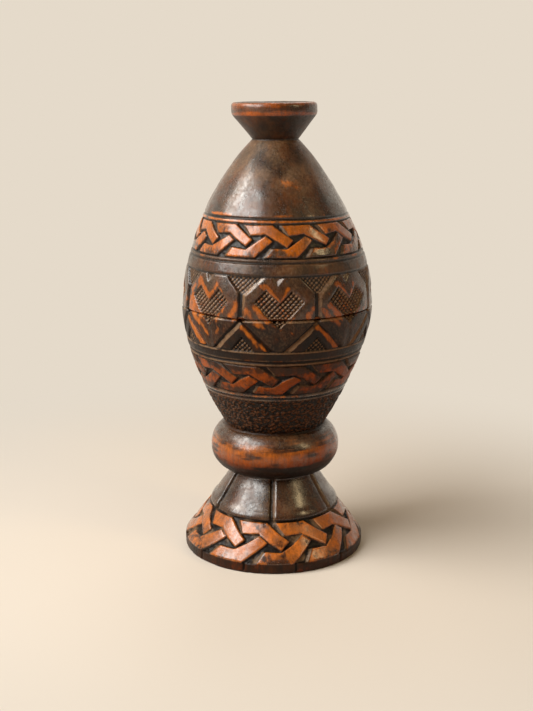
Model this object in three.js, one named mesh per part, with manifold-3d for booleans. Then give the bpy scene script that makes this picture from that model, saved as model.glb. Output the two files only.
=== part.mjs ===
// Carved wooden lidded box: an egg-shaped body on a round collar, a fluted neck and a flared foot.
// The body opens at its widest line, where the lid lifts off a raised rim inside the base.
// Millimetres, +Z up, the front faces -Y. The origin is the centre of the foot's underside.
import * as THREE from 'three';
import { mergeVertices } from 'three/addons/utils/BufferGeometryUtils.js';
import Module from 'manifold-3d';

const wasm = await Module();
wasm.setup();

// Foot, which stands in a little from the belly above it
const FOOT_INSET_WIDTH = 2.4;
const FOOT_RIM_HEIGHT = 6.8;
const FOOT_CHAMFER_WIDTH = 1.2;
const FOOT_SLOPE_HEIGHT = 22.2;
const FOOT_BULGE_HEIGHT = 1.4;

// Fluted neck
const NECK_BOTTOM_RADIUS = 42.6;
const NECK_SHOULDER_RADIUS = 39.2;
const NECK_SHOULDER_HEIGHT = 6;
const NECK_STEP_HEIGHT = 0.6;
const NECK_TOP_RADIUS = 27;
const NECK_HEIGHT = 24.5;
const FLUTE_COUNT = 6;
const FLUTE_WIDTH = 4.4;
const FLUTE_DEPTH = 2.4;
const FLUTE_FLOOR_SHARE = 0.15;
const FLUTE_TURN = -2.6;

// Round collar between the neck and the bowl
const COLLAR_RADIUS = 42.3;
const COLLAR_CORE_RADIUS = 27;
const COLLAR_BOTTOM_RADIUS = 32.2;
const COLLAR_TOP_RADIUS = 34.4;
const COLLAR_LOWER_HEIGHT = 15.5;
const COLLAR_UPPER_HEIGHT = 14.5;

// Outside of the body
const BELLY_RADIUS = 62;
const BOWL_BOTTOM_RADIUS = 32.3;
const BOWL_HEIGHT = 79.4;
const BOWL_BELLY_CURVE_LENGTH = 10.8;
const BOWL_LOWER_CURVE_LENGTH = 40.8;
const BOWL_LOWER_SLOPE = 0.632;
const LID_HEIGHT = 104;
const LID_BELLY_CURVE_LENGTH = 35.3;
const LID_UPPER_CURVE_LENGTH = 24.1;
const LID_UPPER_SLOPE = 0.965;

// Knob
const KNOB_NECK_RADIUS = 14.8;
const KNOB_CONE_HEIGHT = 15.6;
const KNOB_RADIUS = 26.9;
const KNOB_RIM_HEIGHT = 7.4;
const KNOB_EDGE_RADIUS = 1.6;
const KNOB_LIP_WIDTH = 3;
const KNOB_DISH_DEPTH = 1.2;

// Hollow and seat
const RIM_WALL_THICKNESS = 11.9;
const HOLLOW_DEPTH = 66;
const HOLLOW_WALL_CURVE_LENGTH = 33;
const HOLLOW_FLOOR_RADIUS = 13;
const HOLLOW_FLOOR_CURVE_LENGTH = 24;
const SPIGOT_WALL_THICKNESS = 4.2;
const SPIGOT_HEIGHT = 8;
const SPIGOT_CHAMFER_WIDTH = 0.8;
const LID_HOLLOW_HEIGHT = 78;
const LID_HOLLOW_WALL_CURVE_LENGTH = 30;
const LID_HOLLOW_TOP_RADIUS = 9;
const LID_HOLLOW_TOP_CURVE_LENGTH = 22;
const SEAT_GAP = 0.3;
const SPIGOT_SIDE_CLEARANCE = 0.5;
const SPIGOT_TOP_CLEARANCE = 1.5;

// Rings: V grooves, and the narrow ridge that edges each plait belt
const GROOVE_DEPTH = 1.1;
const GROOVE_WIDTH = 1.7;
const RIDGE_WIDTH = 1.5;

// Belts of carving, laid out from the seam: the upper ones on the lid and the lower ones on the bowl
const FRIEZE_UPPER_HEIGHT = 25.4;
const UPPER_PLAIN_BELT_HEIGHT = 7.6;
const UPPER_PLAIT_HEIGHT = 20.6;
const FRIEZE_LOWER_HEIGHT = 19.8;
const LOWER_PLAIN_BELT_HEIGHT = 6.2;
const LOWER_PLAIT_HEIGHT = 20.6;

// Plait of flat raised strands on a sunk ground
const UPPER_PLAIT_REPEATS = 13;
const LOWER_PLAIT_REPEATS = 12;
const FOOT_PLAIT_REPEATS = 11;
const UPPER_PLAIT_TURN = -3.2;
const LOWER_PLAIT_TURN = -12.3;
const FOOT_PLAIT_TURN = -6.2;
const PLAIT_DEPTH = 1.8;
const PLAIT_EDGE_GAP = 0.9;
const STRAND_ROOT_DEPTH = 1.2;

// Frieze of shields across the seam, each with a sunk heart; between two shields lie
// a funnel-shaped joint above the seam and a sunk chevron with a pecked field below it
const SHIELD_COUNT = 8;
const SHIELD_TURN = 1.2;
const SHIELD_CHAMFER_WIDTH = 9;
const SHIELD_CHAMFER_HEIGHT = 8.2;
const NOTCH_WIDTH = 8.6;
const NOTCH_HEIGHT = 5.6;
const NOTCH_DEPTH = 1.4;
const JOINT_WIDTH = 3;
const JOINT_DEPTH = 1.7;
const HEART_WIDTH = 32;
const HEART_LOBE_PITCH = 15.6;
const HEART_TOP_HEIGHT = 18.4;
const HEART_SIDE_HEIGHT = 11.2;
const HEART_NOTCH_HEIGHT = 10.6;
const HEART_TIP_LENGTH = 5.3;
const HEART_DEPTH = 1.2;
const CHEVRON_SEAM_GAP = 1;
const CHEVRON_DEPTH = 1.1;
const PECKED_FIELD_WIDTH = 16;
const PECKED_FIELD_HEIGHT = 9.4;
const PECKED_FIELD_DEPTH = 2;

// How far the cutting blocks reach past the surface that they cut
const FRIEZE_CUT_LENGTH = 6;
const FLUTE_CUT_LENGTH = 0.8;

// Flat sides round the axis, and steps along each curve of the profile
const SIDES = 36;
const HOLLOW_STEPS = 6;
const COLLAR_STEPS = 3;
const SHOULDER_STEPS = 5;
const BELT_STEPS = 2;
const HALVINGS = 40;
const SAME_CORNER = 1e-5;

// Wood
const BASE_WOOD = { color: 0x4a2f20, roughness: 0.45, metalness: 0 };
const LID_WOOD = { color: 0x53382a, roughness: 0.42, metalness: 0 };

const FRONT = -Math.PI / 2;

const footRadius = BELLY_RADIUS - FOOT_INSET_WIDTH;

// Heights of the stages, each stacked on the one below
const neckBottomZ = FOOT_RIM_HEIGHT + FOOT_SLOPE_HEIGHT;
const collarBottomZ = neckBottomZ + NECK_HEIGHT;
const collarMiddleZ = collarBottomZ + COLLAR_LOWER_HEIGHT;
const bowlBottomZ = collarMiddleZ + COLLAR_UPPER_HEIGHT;
const seamZ = bowlBottomZ + BOWL_HEIGHT;
const knobNeckZ = seamZ + LID_HEIGHT;
const knobRimZ = knobNeckZ + KNOB_CONE_HEIGHT;
const knobTopZ = knobRimZ + KNOB_RIM_HEIGHT;

// Heights of the belts. Each plait belt has a V groove and a ridge at both edges. What is left above
// them is the lid's smooth shoulder, and what is left below them is the bowl's stippled belt
const edgeRingHeight = GROOVE_WIDTH + RIDGE_WIDTH;
const friezeTopZ = seamZ + FRIEZE_UPPER_HEIGHT;
const upperPlaitZ = friezeTopZ + UPPER_PLAIN_BELT_HEIGHT + edgeRingHeight;
const shoulderZ = upperPlaitZ + UPPER_PLAIT_HEIGHT + edgeRingHeight;
const friezeBottomZ = seamZ - FRIEZE_LOWER_HEIGHT;
const lowerPlaitZ = friezeBottomZ - LOWER_PLAIN_BELT_HEIGHT - edgeRingHeight - LOWER_PLAIT_HEIGHT;
const stippledTopZ = lowerPlaitZ - edgeRingHeight;

// Seat of the lid: the base's spigot stands up inside a rebate of the lid
const hollowRadius = BELLY_RADIUS - RIM_WALL_THICKNESS;
const spigotRadius = hollowRadius + SPIGOT_WALL_THICKNESS;
const spigotTopZ = seamZ + SPIGOT_HEIGHT;
const hollowFloorZ = seamZ - HOLLOW_DEPTH;
const rebateRadius = spigotRadius + SPIGOT_SIDE_CLEARANCE;
const rebateTopZ = spigotTopZ + SPIGOT_TOP_CLEARANCE;
const lidSeatZ = seamZ + SEAT_GAP;
const lidCeilingZ = seamZ + LID_HOLLOW_HEIGHT;

const vec2 = (x, y) => new THREE.Vector2(x, y);
const radians = THREE.MathUtils.degToRad;

// Outside curves of the body, each from its lower end to its upper end
const footCurve = new THREE.QuadraticBezierCurve(
  vec2(footRadius, FOOT_RIM_HEIGHT),
  vec2(footRadius, FOOT_RIM_HEIGHT + FOOT_BULGE_HEIGHT),
  vec2(NECK_BOTTOM_RADIUS, neckBottomZ),
);
const bowlCurve = new THREE.CubicBezierCurve(
  vec2(BOWL_BOTTOM_RADIUS, bowlBottomZ),
  vec2(
    BOWL_BOTTOM_RADIUS + BOWL_LOWER_SLOPE * BOWL_LOWER_CURVE_LENGTH,
    bowlBottomZ + BOWL_LOWER_CURVE_LENGTH,
  ),
  vec2(BELLY_RADIUS, seamZ - BOWL_BELLY_CURVE_LENGTH),
  vec2(BELLY_RADIUS, seamZ),
);
const lidCurve = new THREE.CubicBezierCurve(
  vec2(BELLY_RADIUS, seamZ),
  vec2(BELLY_RADIUS, seamZ + LID_BELLY_CURVE_LENGTH),
  vec2(
    KNOB_NECK_RADIUS + LID_UPPER_SLOPE * LID_UPPER_CURVE_LENGTH,
    knobNeckZ - LID_UPPER_CURVE_LENGTH,
  ),
  vec2(KNOB_NECK_RADIUS, knobNeckZ),
);

// Radius of a curve that climbs steadily, at one height
function radiusOnCurve(curve, z) {
  let low = 0;
  let high = 1;
  for (let step = 0; step < HALVINGS; step += 1) {
    const middle = (low + high) / 2;
    if (curve.getPoint(middle).y < z) low = middle;
    else high = middle;
  }
  return curve.getPoint(low).x;
}

const footRadiusAt = (z) => radiusOnCurve(footCurve, z);
const bodyRadiusAt = (z) => radiusOnCurve(z < seamZ ? bowlCurve : lidCurve, z);

// Neck: a short round shoulder, then a straight taper up to the collar
function neckRadiusAt(z) {
  const shoulderTopZ = neckBottomZ + NECK_SHOULDER_HEIGHT;
  const shoulderShare = THREE.MathUtils.clamp((z - neckBottomZ) / NECK_SHOULDER_HEIGHT, 0, 1);
  const taperHeight = NECK_HEIGHT - NECK_SHOULDER_HEIGHT;
  const taperShare = Math.max(0, z - shoulderTopZ) / taperHeight;
  const shoulder = THREE.MathUtils.lerp(NECK_BOTTOM_RADIUS, NECK_SHOULDER_RADIUS, shoulderShare ** 2);
  return shoulder - taperShare * (NECK_SHOULDER_RADIUS - NECK_TOP_RADIUS);
}

// Points of a surface at even heights, both ends included
function stations(radiusAt, fromZ, toZ, steps) {
  return Array.from({ length: steps + 1 }, (_, i) => {
    const z = THREE.MathUtils.lerp(fromZ, toZ, i / steps);
    return vec2(radiusAt(z), z);
  });
}

// A V groove turned into a surface, from its lower lip to its upper lip
function groove(radiusAt, bottomZ) {
  const middleZ = bottomZ + GROOVE_WIDTH / 2;
  const topZ = bottomZ + GROOVE_WIDTH;
  return [
    vec2(radiusAt(bottomZ), bottomZ),
    vec2(radiusAt(middleZ) - GROOVE_DEPTH, middleZ),
    vec2(radiusAt(topZ), topZ),
  ];
}

// A convex quarter round, as points of an ellipse between two heights
function roundPoints(centreRadius, centreZ, reach, fromZ, toZ, halfHeight) {
  const fromAngle = Math.asin((fromZ - centreZ) / halfHeight);
  const toAngle = Math.asin((toZ - centreZ) / halfHeight);
  return Array.from({ length: COLLAR_STEPS + 1 }, (_, i) => {
    const angle = THREE.MathUtils.lerp(fromAngle, toAngle, i / COLLAR_STEPS);
    return vec2(centreRadius + reach * Math.cos(angle), centreZ + halfHeight * Math.sin(angle));
  });
}

// Half height of the ellipse that passes through a given end radius
function roundHalfHeight(centreRadius, reach, endRadius, endDistance) {
  const share = (endRadius - centreRadius) / reach;
  return endDistance / Math.sqrt(1 - share * share);
}

function collarPoints() {
  const reach = COLLAR_RADIUS - COLLAR_CORE_RADIUS;
  const lowerHalf = roundHalfHeight(COLLAR_CORE_RADIUS, reach, COLLAR_BOTTOM_RADIUS, COLLAR_LOWER_HEIGHT);
  const upperHalf = roundHalfHeight(COLLAR_CORE_RADIUS, reach, COLLAR_TOP_RADIUS, COLLAR_UPPER_HEIGHT);
  const middle = collarMiddleZ;
  return [
    ...roundPoints(COLLAR_CORE_RADIUS, middle, reach, collarBottomZ, middle, lowerHalf),
    ...roundPoints(COLLAR_CORE_RADIUS, middle, reach, middle, bowlBottomZ, upperHalf).slice(1),
  ];
}

// A belt sunk below the surface, with square edges
function sunkBelt(radiusAt, bottomZ, topZ) {
  const groundRadiusAt = (z) => radiusAt(z) - PLAIT_DEPTH;
  return [
    vec2(radiusAt(bottomZ), bottomZ),
    ...stations(groundRadiusAt, bottomZ, topZ, BELT_STEPS),
    vec2(radiusAt(topZ), topZ),
  ];
}

// A plait belt on the body, with a V groove and a ridge at both edges
function edgedPlaitBelt(bottomZ, height) {
  const topZ = bottomZ + height;
  return [
    ...groove(bodyRadiusAt, bottomZ - edgeRingHeight),
    ...sunkBelt(bodyRadiusAt, bottomZ, topZ),
    ...groove(bodyRadiusAt, topZ + RIDGE_WIDTH),
  ];
}

// Inside of the bowl, from the top of the wall to the middle of the rounded floor
function bowlHollowPoints() {
  const wall = new THREE.CubicBezierCurve(
    vec2(hollowRadius, seamZ),
    vec2(hollowRadius, seamZ - HOLLOW_WALL_CURVE_LENGTH),
    vec2(HOLLOW_FLOOR_RADIUS + HOLLOW_FLOOR_CURVE_LENGTH, hollowFloorZ),
    vec2(HOLLOW_FLOOR_RADIUS, hollowFloorZ),
  );
  return [...wall.getPoints(HOLLOW_STEPS), vec2(0, hollowFloorZ)];
}

// Inside of the lid, from the middle of the ceiling down to the rebate that takes the spigot
function lidHollowPoints() {
  const dome = new THREE.CubicBezierCurve(
    vec2(LID_HOLLOW_TOP_RADIUS, lidCeilingZ),
    vec2(LID_HOLLOW_TOP_RADIUS + LID_HOLLOW_TOP_CURVE_LENGTH, lidCeilingZ),
    vec2(hollowRadius, rebateTopZ + LID_HOLLOW_WALL_CURVE_LENGTH),
    vec2(hollowRadius, rebateTopZ),
  );
  return [
    vec2(0, lidCeilingZ),
    ...dome.getPoints(HOLLOW_STEPS),
    vec2(rebateRadius, rebateTopZ),
    vec2(rebateRadius, lidSeatZ),
  ];
}

// The round shoulder at the foot of the neck
function neckShoulderPoints() {
  const fromZ = neckBottomZ + NECK_STEP_HEIGHT;
  return stations(neckRadiusAt, fromZ, neckBottomZ + NECK_SHOULDER_HEIGHT, BELT_STEPS);
}

function baseProfile() {
  return [
    vec2(0, 0),
    vec2(footRadius - FOOT_CHAMFER_WIDTH, 0),
    vec2(footRadius, FOOT_CHAMFER_WIDTH),
    ...sunkBelt(footRadiusAt, FOOT_RIM_HEIGHT, neckBottomZ).slice(0, -1),
    ...neckShoulderPoints(),
    vec2(NECK_TOP_RADIUS, collarBottomZ),
    ...collarPoints(),
    ...stations(bodyRadiusAt, bowlBottomZ, stippledTopZ, BELT_STEPS).slice(1, -1),
    ...edgedPlaitBelt(lowerPlaitZ, LOWER_PLAIT_HEIGHT),
    ...groove(bodyRadiusAt, friezeBottomZ - GROOVE_WIDTH),
    ...stations(bodyRadiusAt, friezeBottomZ, seamZ, BELT_STEPS).slice(1),
    vec2(spigotRadius, seamZ),
    vec2(spigotRadius, spigotTopZ - SPIGOT_CHAMFER_WIDTH),
    vec2(spigotRadius - SPIGOT_CHAMFER_WIDTH, spigotTopZ),
    vec2(hollowRadius, spigotTopZ),
    ...bowlHollowPoints(),
  ];
}

function lidProfile() {
  return [
    ...lidHollowPoints(),
    ...stations(bodyRadiusAt, lidSeatZ, friezeTopZ, BELT_STEPS).slice(0, -1),
    ...groove(bodyRadiusAt, friezeTopZ),
    ...edgedPlaitBelt(upperPlaitZ, UPPER_PLAIT_HEIGHT),
    ...stations(bodyRadiusAt, shoulderZ, knobNeckZ, SHOULDER_STEPS).slice(1),
    vec2(KNOB_RADIUS - KNOB_EDGE_RADIUS / 2, knobRimZ),
    vec2(KNOB_RADIUS, knobRimZ + KNOB_EDGE_RADIUS),
    vec2(KNOB_RADIUS, knobTopZ - KNOB_EDGE_RADIUS),
    vec2(KNOB_RADIUS - KNOB_EDGE_RADIUS, knobTopZ),
    vec2(KNOB_RADIUS - KNOB_EDGE_RADIUS - KNOB_LIP_WIDTH, knobTopZ - KNOB_DISH_DEPTH / 2),
    vec2(0, knobTopZ - KNOB_DISH_DEPTH),
  ];
}

// A closed geometry with merged corners becomes a solid that can be joined and cut
function toSolid(geometry) {
  const bare = geometry.clone();
  bare.deleteAttribute('normal');
  bare.deleteAttribute('uv');
  const merged = mergeVertices(bare, SAME_CORNER);
  return new wasm.Manifold(new wasm.Mesh({
    numProp: 3,
    vertProperties: new Float32Array(merged.getAttribute('position').array),
    triVerts: new Uint32Array(merged.getIndex().array),
  }));
}

function toGeometry(solid) {
  const mesh = solid.getMesh();
  const geometry = new THREE.BufferGeometry();
  geometry.setAttribute('position', new THREE.BufferAttribute(mesh.vertProperties, 3));
  geometry.setIndex(new THREE.BufferAttribute(mesh.triVerts, 1));
  geometry.computeVertexNormals();
  return geometry;
}

// A turned solid, stood up so that its axis is Z
function turned(profile) {
  const geometry = new THREE.LatheGeometry(profile, SIDES);
  geometry.rotateX(Math.PI / 2);
  return toSolid(geometry);
}

// A block bent round a surface. Its outline is given as [angle, height], and it reaches from `below`
// under the surface to `above` over it. A tapered block narrows to `innerWidth` of its width inside
function bentBlock(radiusAt, outline, { below, above, innerWidth = 1 }) {
  const shape = new THREE.Shape(outline.map(([angle, z]) => vec2(angle, z)));
  const geometry = new THREE.ExtrudeGeometry(shape, { depth: 1, steps: 1, bevelEnabled: false });
  const middle = outline.reduce((sum, [angle]) => sum + angle, 0) / outline.length;
  const outerWidth = 1 + (1 - innerWidth) * (above / below);
  const position = geometry.getAttribute('position');
  for (let i = 0; i < position.count; i += 1) {
    const isOuter = position.getZ(i) > 0.5;
    const z = position.getY(i);
    const angle = THREE.MathUtils.lerp(middle, position.getX(i), isOuter ? outerWidth : innerWidth);
    const radius = radiusAt(z) + (isOuter ? above : -below);
    position.setXYZ(i, radius * Math.cos(angle), radius * Math.sin(angle), z);
  }
  return toSolid(geometry);
}

// Outlines of the two strands of one repeat, as [share of the repeat, share of the strands' height].
// The upper strand runs along the top, bends at 0 and ends against the lower strand;
// the lower strand runs along the bottom, bends up and ends against the upper strand
const UPPER_STRAND = [
  [-0.755, 1], [-0.563, 0.7], [-0.177, 0.715], [0.08, 0.52], [0.339, 0.325],
  [0.495, 0.53], [0.25, 0.765], [0, 1], [-0.38, 1],
];
const LOWER_STRAND = [
  [-0.144, 0], [0.2, 0], [0.566, 0], [0.79, 0.26], [1.004, 0.51],
  [0.823, 0.66], [0.58, 0.46], [0.339, 0.265], [-0.004, 0.27],
];

function plaitStrands(radiusAt, bottomZ, topZ, repeats, turn) {
  const pitch = (2 * Math.PI) / repeats;
  const reach = { below: PLAIT_DEPTH + STRAND_ROOT_DEPTH, above: 0 };
  const strands = [];
  for (let repeat = 0; repeat < repeats; repeat += 1) {
    const bend = FRONT + radians(turn) + repeat * pitch;
    const place = ([across, up]) => [bend + across * pitch, THREE.MathUtils.lerp(bottomZ, topZ, up)];
    for (const outline of [UPPER_STRAND, LOWER_STRAND]) {
      strands.push(bentBlock(radiusAt, outline.map(place), reach));
    }
  }
  return strands;
}

// Cuts that leave one shield of the frieze, as outlines in millimetres across and up from the point
// where the shield's middle line crosses the seam. They run out into the grooves above and below
function shieldCuts() {
  const half = (Math.PI * BELLY_RADIUS) / SHIELD_COUNT;
  const top = FRIEZE_UPPER_HEIGHT + GROOVE_WIDTH / 2;
  const bottom = friezeBottomZ - GROOVE_WIDTH / 2 - seamZ;
  const side = half - JOINT_WIDTH / 2;
  const corner = side - SHIELD_CHAMFER_WIDTH;
  const shoulder = top - SHIELD_CHAMFER_HEIGHT;
  const lobe = HEART_LOBE_PITCH / 2;
  const field = PECKED_FIELD_WIDTH / 2;
  const notch = [[-NOTCH_WIDTH / 2, top], [0, top - NOTCH_HEIGHT], [NOTCH_WIDTH / 2, top]];
  const joint = [
    [corner, top], [side, shoulder], [side, -CHEVRON_SEAM_GAP],
    [2 * half - side, -CHEVRON_SEAM_GAP], [2 * half - side, shoulder], [2 * half - corner, top],
  ];
  const heart = [
    [0, -HEART_TIP_LENGTH], [HEART_WIDTH / 2, HEART_SIDE_HEIGHT],
    [lobe, HEART_TOP_HEIGHT], [0, HEART_NOTCH_HEIGHT],
    [-lobe, HEART_TOP_HEIGHT], [-HEART_WIDTH / 2, HEART_SIDE_HEIGHT],
  ];
  const chevron = [
    [JOINT_WIDTH / 2, bottom], [2 * half - JOINT_WIDTH / 2, bottom], [half, -CHEVRON_SEAM_GAP],
  ];
  const peckedField = [[half - field, bottom], [half + field, bottom], [half, bottom + PECKED_FIELD_HEIGHT]];
  return [
    { outline: notch, depth: NOTCH_DEPTH },
    { outline: joint, depth: JOINT_DEPTH },
    { outline: heart, depth: HEART_DEPTH },
    { outline: chevron, depth: CHEVRON_DEPTH },
    { outline: peckedField, depth: PECKED_FIELD_DEPTH },
  ];
}

// The floor of the frieze's cuts: a core turned smaller than the body by the depth of the cut
function friezeCore(depth) {
  const coreRadiusAt = (z) => bodyRadiusAt(z) - depth;
  const lowZ = friezeBottomZ - GROOVE_WIDTH;
  const highZ = friezeTopZ + GROOVE_WIDTH;
  return turned([
    vec2(0, lowZ),
    vec2(coreRadiusAt(lowZ), lowZ),
    ...stations(coreRadiusAt, friezeBottomZ, seamZ, BELT_STEPS),
    ...stations(coreRadiusAt, seamZ, friezeTopZ, BELT_STEPS).slice(1),
    vec2(coreRadiusAt(highZ), highZ),
    vec2(0, highZ),
  ]);
}

// All cuts of the frieze: blocks through the surface, stopped at the core of their depth
function friezeCuts() {
  const reach = { below: FRIEZE_CUT_LENGTH, above: FRIEZE_CUT_LENGTH };
  return shieldCuts().map(({ outline, depth }) => {
    const blocks = [];
    for (let shield = 0; shield < SHIELD_COUNT; shield += 1) {
      const middle = FRONT + radians(SHIELD_TURN) + (shield * 2 * Math.PI) / SHIELD_COUNT;
      const place = ([across, up]) => [middle + across / BELLY_RADIUS, seamZ + up];
      blocks.push(bentBlock(bodyRadiusAt, outline.map(place), reach));
    }
    return joined(blocks).subtract(friezeCore(depth));
  });
}

// V grooves that run down the neck and over its shoulder
function fluteCuts() {
  const reach = { below: FLUTE_DEPTH, above: FLUTE_CUT_LENGTH, innerWidth: FLUTE_FLOOR_SHARE };
  const halfTurn = FLUTE_WIDTH / 2 / NECK_BOTTOM_RADIUS;
  const heights = [...neckShoulderPoints().map((point) => point.y), collarBottomZ];
  const cuts = [];
  for (let flute = 0; flute < FLUTE_COUNT; flute += 1) {
    const middle = FRONT + radians(FLUTE_TURN) + (flute * 2 * Math.PI) / FLUTE_COUNT;
    const right = heights.map((z) => [middle + halfTurn, z]);
    const left = heights.map((z) => [middle - halfTurn, z]).reverse();
    cuts.push(bentBlock(neckRadiusAt, [...right, ...left], reach));
  }
  return cuts;
}

const joined = (solids) => wasm.Manifold.union(solids);

function woodPiece(name, solid, wood) {
  const piece = new THREE.Mesh(toGeometry(solid), new THREE.MeshStandardMaterial(wood));
  piece.name = name;
  return piece;
}

function makeBase(frieze) {
  const footStrands = plaitStrands(footRadiusAt, FOOT_RIM_HEIGHT, neckBottomZ - PLAIT_EDGE_GAP,
    FOOT_PLAIT_REPEATS, FOOT_PLAIT_TURN);
  const bowlStrands = plaitStrands(bodyRadiusAt, lowerPlaitZ + PLAIT_EDGE_GAP,
    lowerPlaitZ + LOWER_PLAIT_HEIGHT - PLAIT_EDGE_GAP, LOWER_PLAIT_REPEATS, LOWER_PLAIT_TURN);
  const solid = joined([turned(baseProfile()), ...footStrands, ...bowlStrands])
    .subtract(joined([...fluteCuts(), ...frieze]));
  return woodPiece('base', solid, BASE_WOOD);
}

function makeLid(frieze) {
  const strands = plaitStrands(bodyRadiusAt, upperPlaitZ + PLAIT_EDGE_GAP,
    upperPlaitZ + UPPER_PLAIT_HEIGHT - PLAIT_EDGE_GAP, UPPER_PLAIT_REPEATS, UPPER_PLAIT_TURN);
  const solid = joined([turned(lidProfile()), ...strands]).subtract(joined(frieze));
  return woodPiece('lid', solid, LID_WOOD);
}

const frieze = friezeCuts();
const box = new THREE.Group();
box.add(makeBase(frieze), makeLid(frieze));

export default box;
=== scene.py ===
import math

import bpy
import numpy as np
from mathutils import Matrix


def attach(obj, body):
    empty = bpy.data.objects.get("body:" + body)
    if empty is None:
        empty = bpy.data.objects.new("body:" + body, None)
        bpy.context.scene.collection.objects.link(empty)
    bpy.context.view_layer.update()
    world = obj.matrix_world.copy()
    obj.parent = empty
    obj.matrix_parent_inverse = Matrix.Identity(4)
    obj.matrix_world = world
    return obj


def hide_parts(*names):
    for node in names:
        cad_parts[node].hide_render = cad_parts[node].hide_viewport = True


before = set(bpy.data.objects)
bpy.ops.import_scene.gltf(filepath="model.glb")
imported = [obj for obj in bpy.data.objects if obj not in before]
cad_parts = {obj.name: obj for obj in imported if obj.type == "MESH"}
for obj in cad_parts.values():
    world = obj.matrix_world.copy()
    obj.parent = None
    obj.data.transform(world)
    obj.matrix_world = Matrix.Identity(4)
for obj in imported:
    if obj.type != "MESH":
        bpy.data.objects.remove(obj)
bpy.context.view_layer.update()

# Carved wooden lidded box. Sizes are in millimetres until a mesh is made from them.
MILLIMETRE = 0.001

# Heights of the stages
FOOT_RIM_TOP = 6.8
NECK_BOTTOM = 29.0
NECK_SHOULDER_TOP = 35.0
COLLAR_BOTTOM = 53.5
COLLAR_MIDDLE = 69.0
COLLAR_LOWER_HALF, COLLAR_UPPER_HALF = 16.5, 16.6
BOWL_BOTTOM = 83.5
SEAM = 162.9
LID_SEAT = 163.2
KNOB_NECK = 266.9
KNOB_TOP = 289.9

# Radii
FOOT_RADIUS = 59.4
NECK_BOTTOM_RADIUS = 42.6
NECK_SHOULDER_RADIUS = 39.2
NECK_TOP_RADIUS = 27.0
COLLAR_CORE_RADIUS = 27.0
COLLAR_RADIUS = 42.3
BOWL_BOTTOM_RADIUS = 32.3
BELLY_RADIUS = 61.25
KNOB_NECK_RADIUS = 14.8
KNOB_RADIUS = 26.9
SPIGOT_RADIUS = 54.3
REBATE_RADIUS = 54.8
HOLLOW_RADIUS = 50.1

# Belts of carving
LOWER_BELT = (113.1, 133.7)
FRIEZE = (143.1, 188.3)
UPPER_BELT = (199.1, 219.7)
SHOULDER_BOTTOM = 222.9
STIPPLE_TOP = 109.9
STIPPLE_COUNT, STIPPLE_PITCH = 106, 2.15
STIPPLE_DEPTH = 0.95
PLAIT_DEPTH = 1.9
PLAIT_EDGE_GAP = 0.9
GROOVE_DEPTH, GROOVE_WIDTH = 1.1, 1.7
FLUTE_COUNT, FLUTE_TURN = 6, -2.6
FLUTE_DEPTH = 2.1
FOOT_SLIT_DEPTH = 1.3

# Columns of vertices round a row, more of them where the carving is finer
LID_COLUMNS = 720
FRIEZE_COLUMNS = 640
BASE_COLUMNS = 560
NECK_COLUMNS = 432
STIPPLE_COLUMNS = 380
COLLAR_COLUMNS = 200
PLAIN_COLUMNS = 160
INNER_COLUMNS = 96

# Outlines of the strands of one plait repeat, as shares of the repeat and of the strands' height.
# The first two corners of an upper strand and the last and first of a lower one are its tail,
# where a sloped cut lets it dive under its neighbour.
UPPER_STRAND = [
    (-0.755, 1), (-0.563, 0.7), (-0.177, 0.715), (0.08, 0.52), (0.339, 0.325),
    (0.495, 0.53), (0.25, 0.765), (0, 1), (-0.38, 1),
]
LOWER_STRAND = [
    (-0.144, 0), (0.2, 0), (0.566, 0), (0.79, 0.26), (1.004, 0.51),
    (0.823, 0.66), (0.58, 0.46), (0.339, 0.265), (-0.004, 0.27),
]

# The flat top of one shield of the frieze ends at these lines, and its sides slope down from them.
# Each has a point on the line, the outward direction and the width of the slope, in millimetres
# across and up from the middle of the seam. The knife left wide slopes facing left.
SHIELD_COUNT, SHIELD_TURN = 8, 1.2
SHIELD_DEPTH = 1.5
SHIELD_SIDES = [
    ((-21.4, 0), (-1, 0), 2.7), ((21.2, 0), (1, 0), 0.9),
    ((-21.7, 14.3), (-0.663, 0.748), 2.4), ((19.6, 17.9), (0.739, 0.674), 0.9),
    ((-21.4, -1.2), (-0.686, -0.728), 2.1), ((21.2, -0.8), (0.686, -0.728), 1.0),
]
LEFT_SIDES, LOWER_LEFT, LOWER_RIGHT = (0, 2, 4), 4, 5
NOTCH_SIDES = [((-2.0, 20.1), (0.874, 0.486), 0.8), ((-2.0, 20.1), (-0.741, 0.672), 2.6)]
HEART = [(0.1, -5.3), (15.6, 11.3), (7.3, 18.3), (-0.3, 10.8), (-9.0, 18.8), (-16.6, 11.3)]
HEART_WALLS = (0.45, 1.15, 1.0, 0.35, 0.9, 0.35)
PEG_PITCH, HATCH_PITCH = 2.35, 2.1
DIAGONAL = 1.414

# Rubbed streaks of a shield: start, end, half width and strength
RUBBED_STREAKS = [
    ((-21.0, 5.8), (-16.8, 1.6), 1.5, 1.0), ((-15.8, 8.4), (-8.4, 0.4), 1.7, 1.15),
    ((-14.8, -0.4), (-9.4, -4.4), 1.5, 1.0), ((-8.4, -5.4), (-2.4, -11.6), 1.6, 0.55),
    ((6.2, -0.6), (10.4, 4.4), 1.2, 0.65), ((17.0, 2.6), (20.4, 7.2), 1.4, 0.9),
    ((-10.2, 20.4), (-1.4, 11.4), 1.5, 1.2), ((0.6, 11.4), (4.9, 19.4), 1.0, 0.95),
    ((-18.6, 13.4), (-14.0, 17.6), 1.0, 0.5), ((3.0, -12.0), (8.6, -7.0), 1.2, 0.4),
]


def soft(share):
    """A share from 0 to 1 that starts and ends gently."""
    return share * share * (3 - 2 * share)


def smooth(start, end, value):
    """0 before start, 1 after end, with soft ends. Start may lie above end."""
    return soft(np.clip((value - start) / (end - start), 0, 1))


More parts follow.
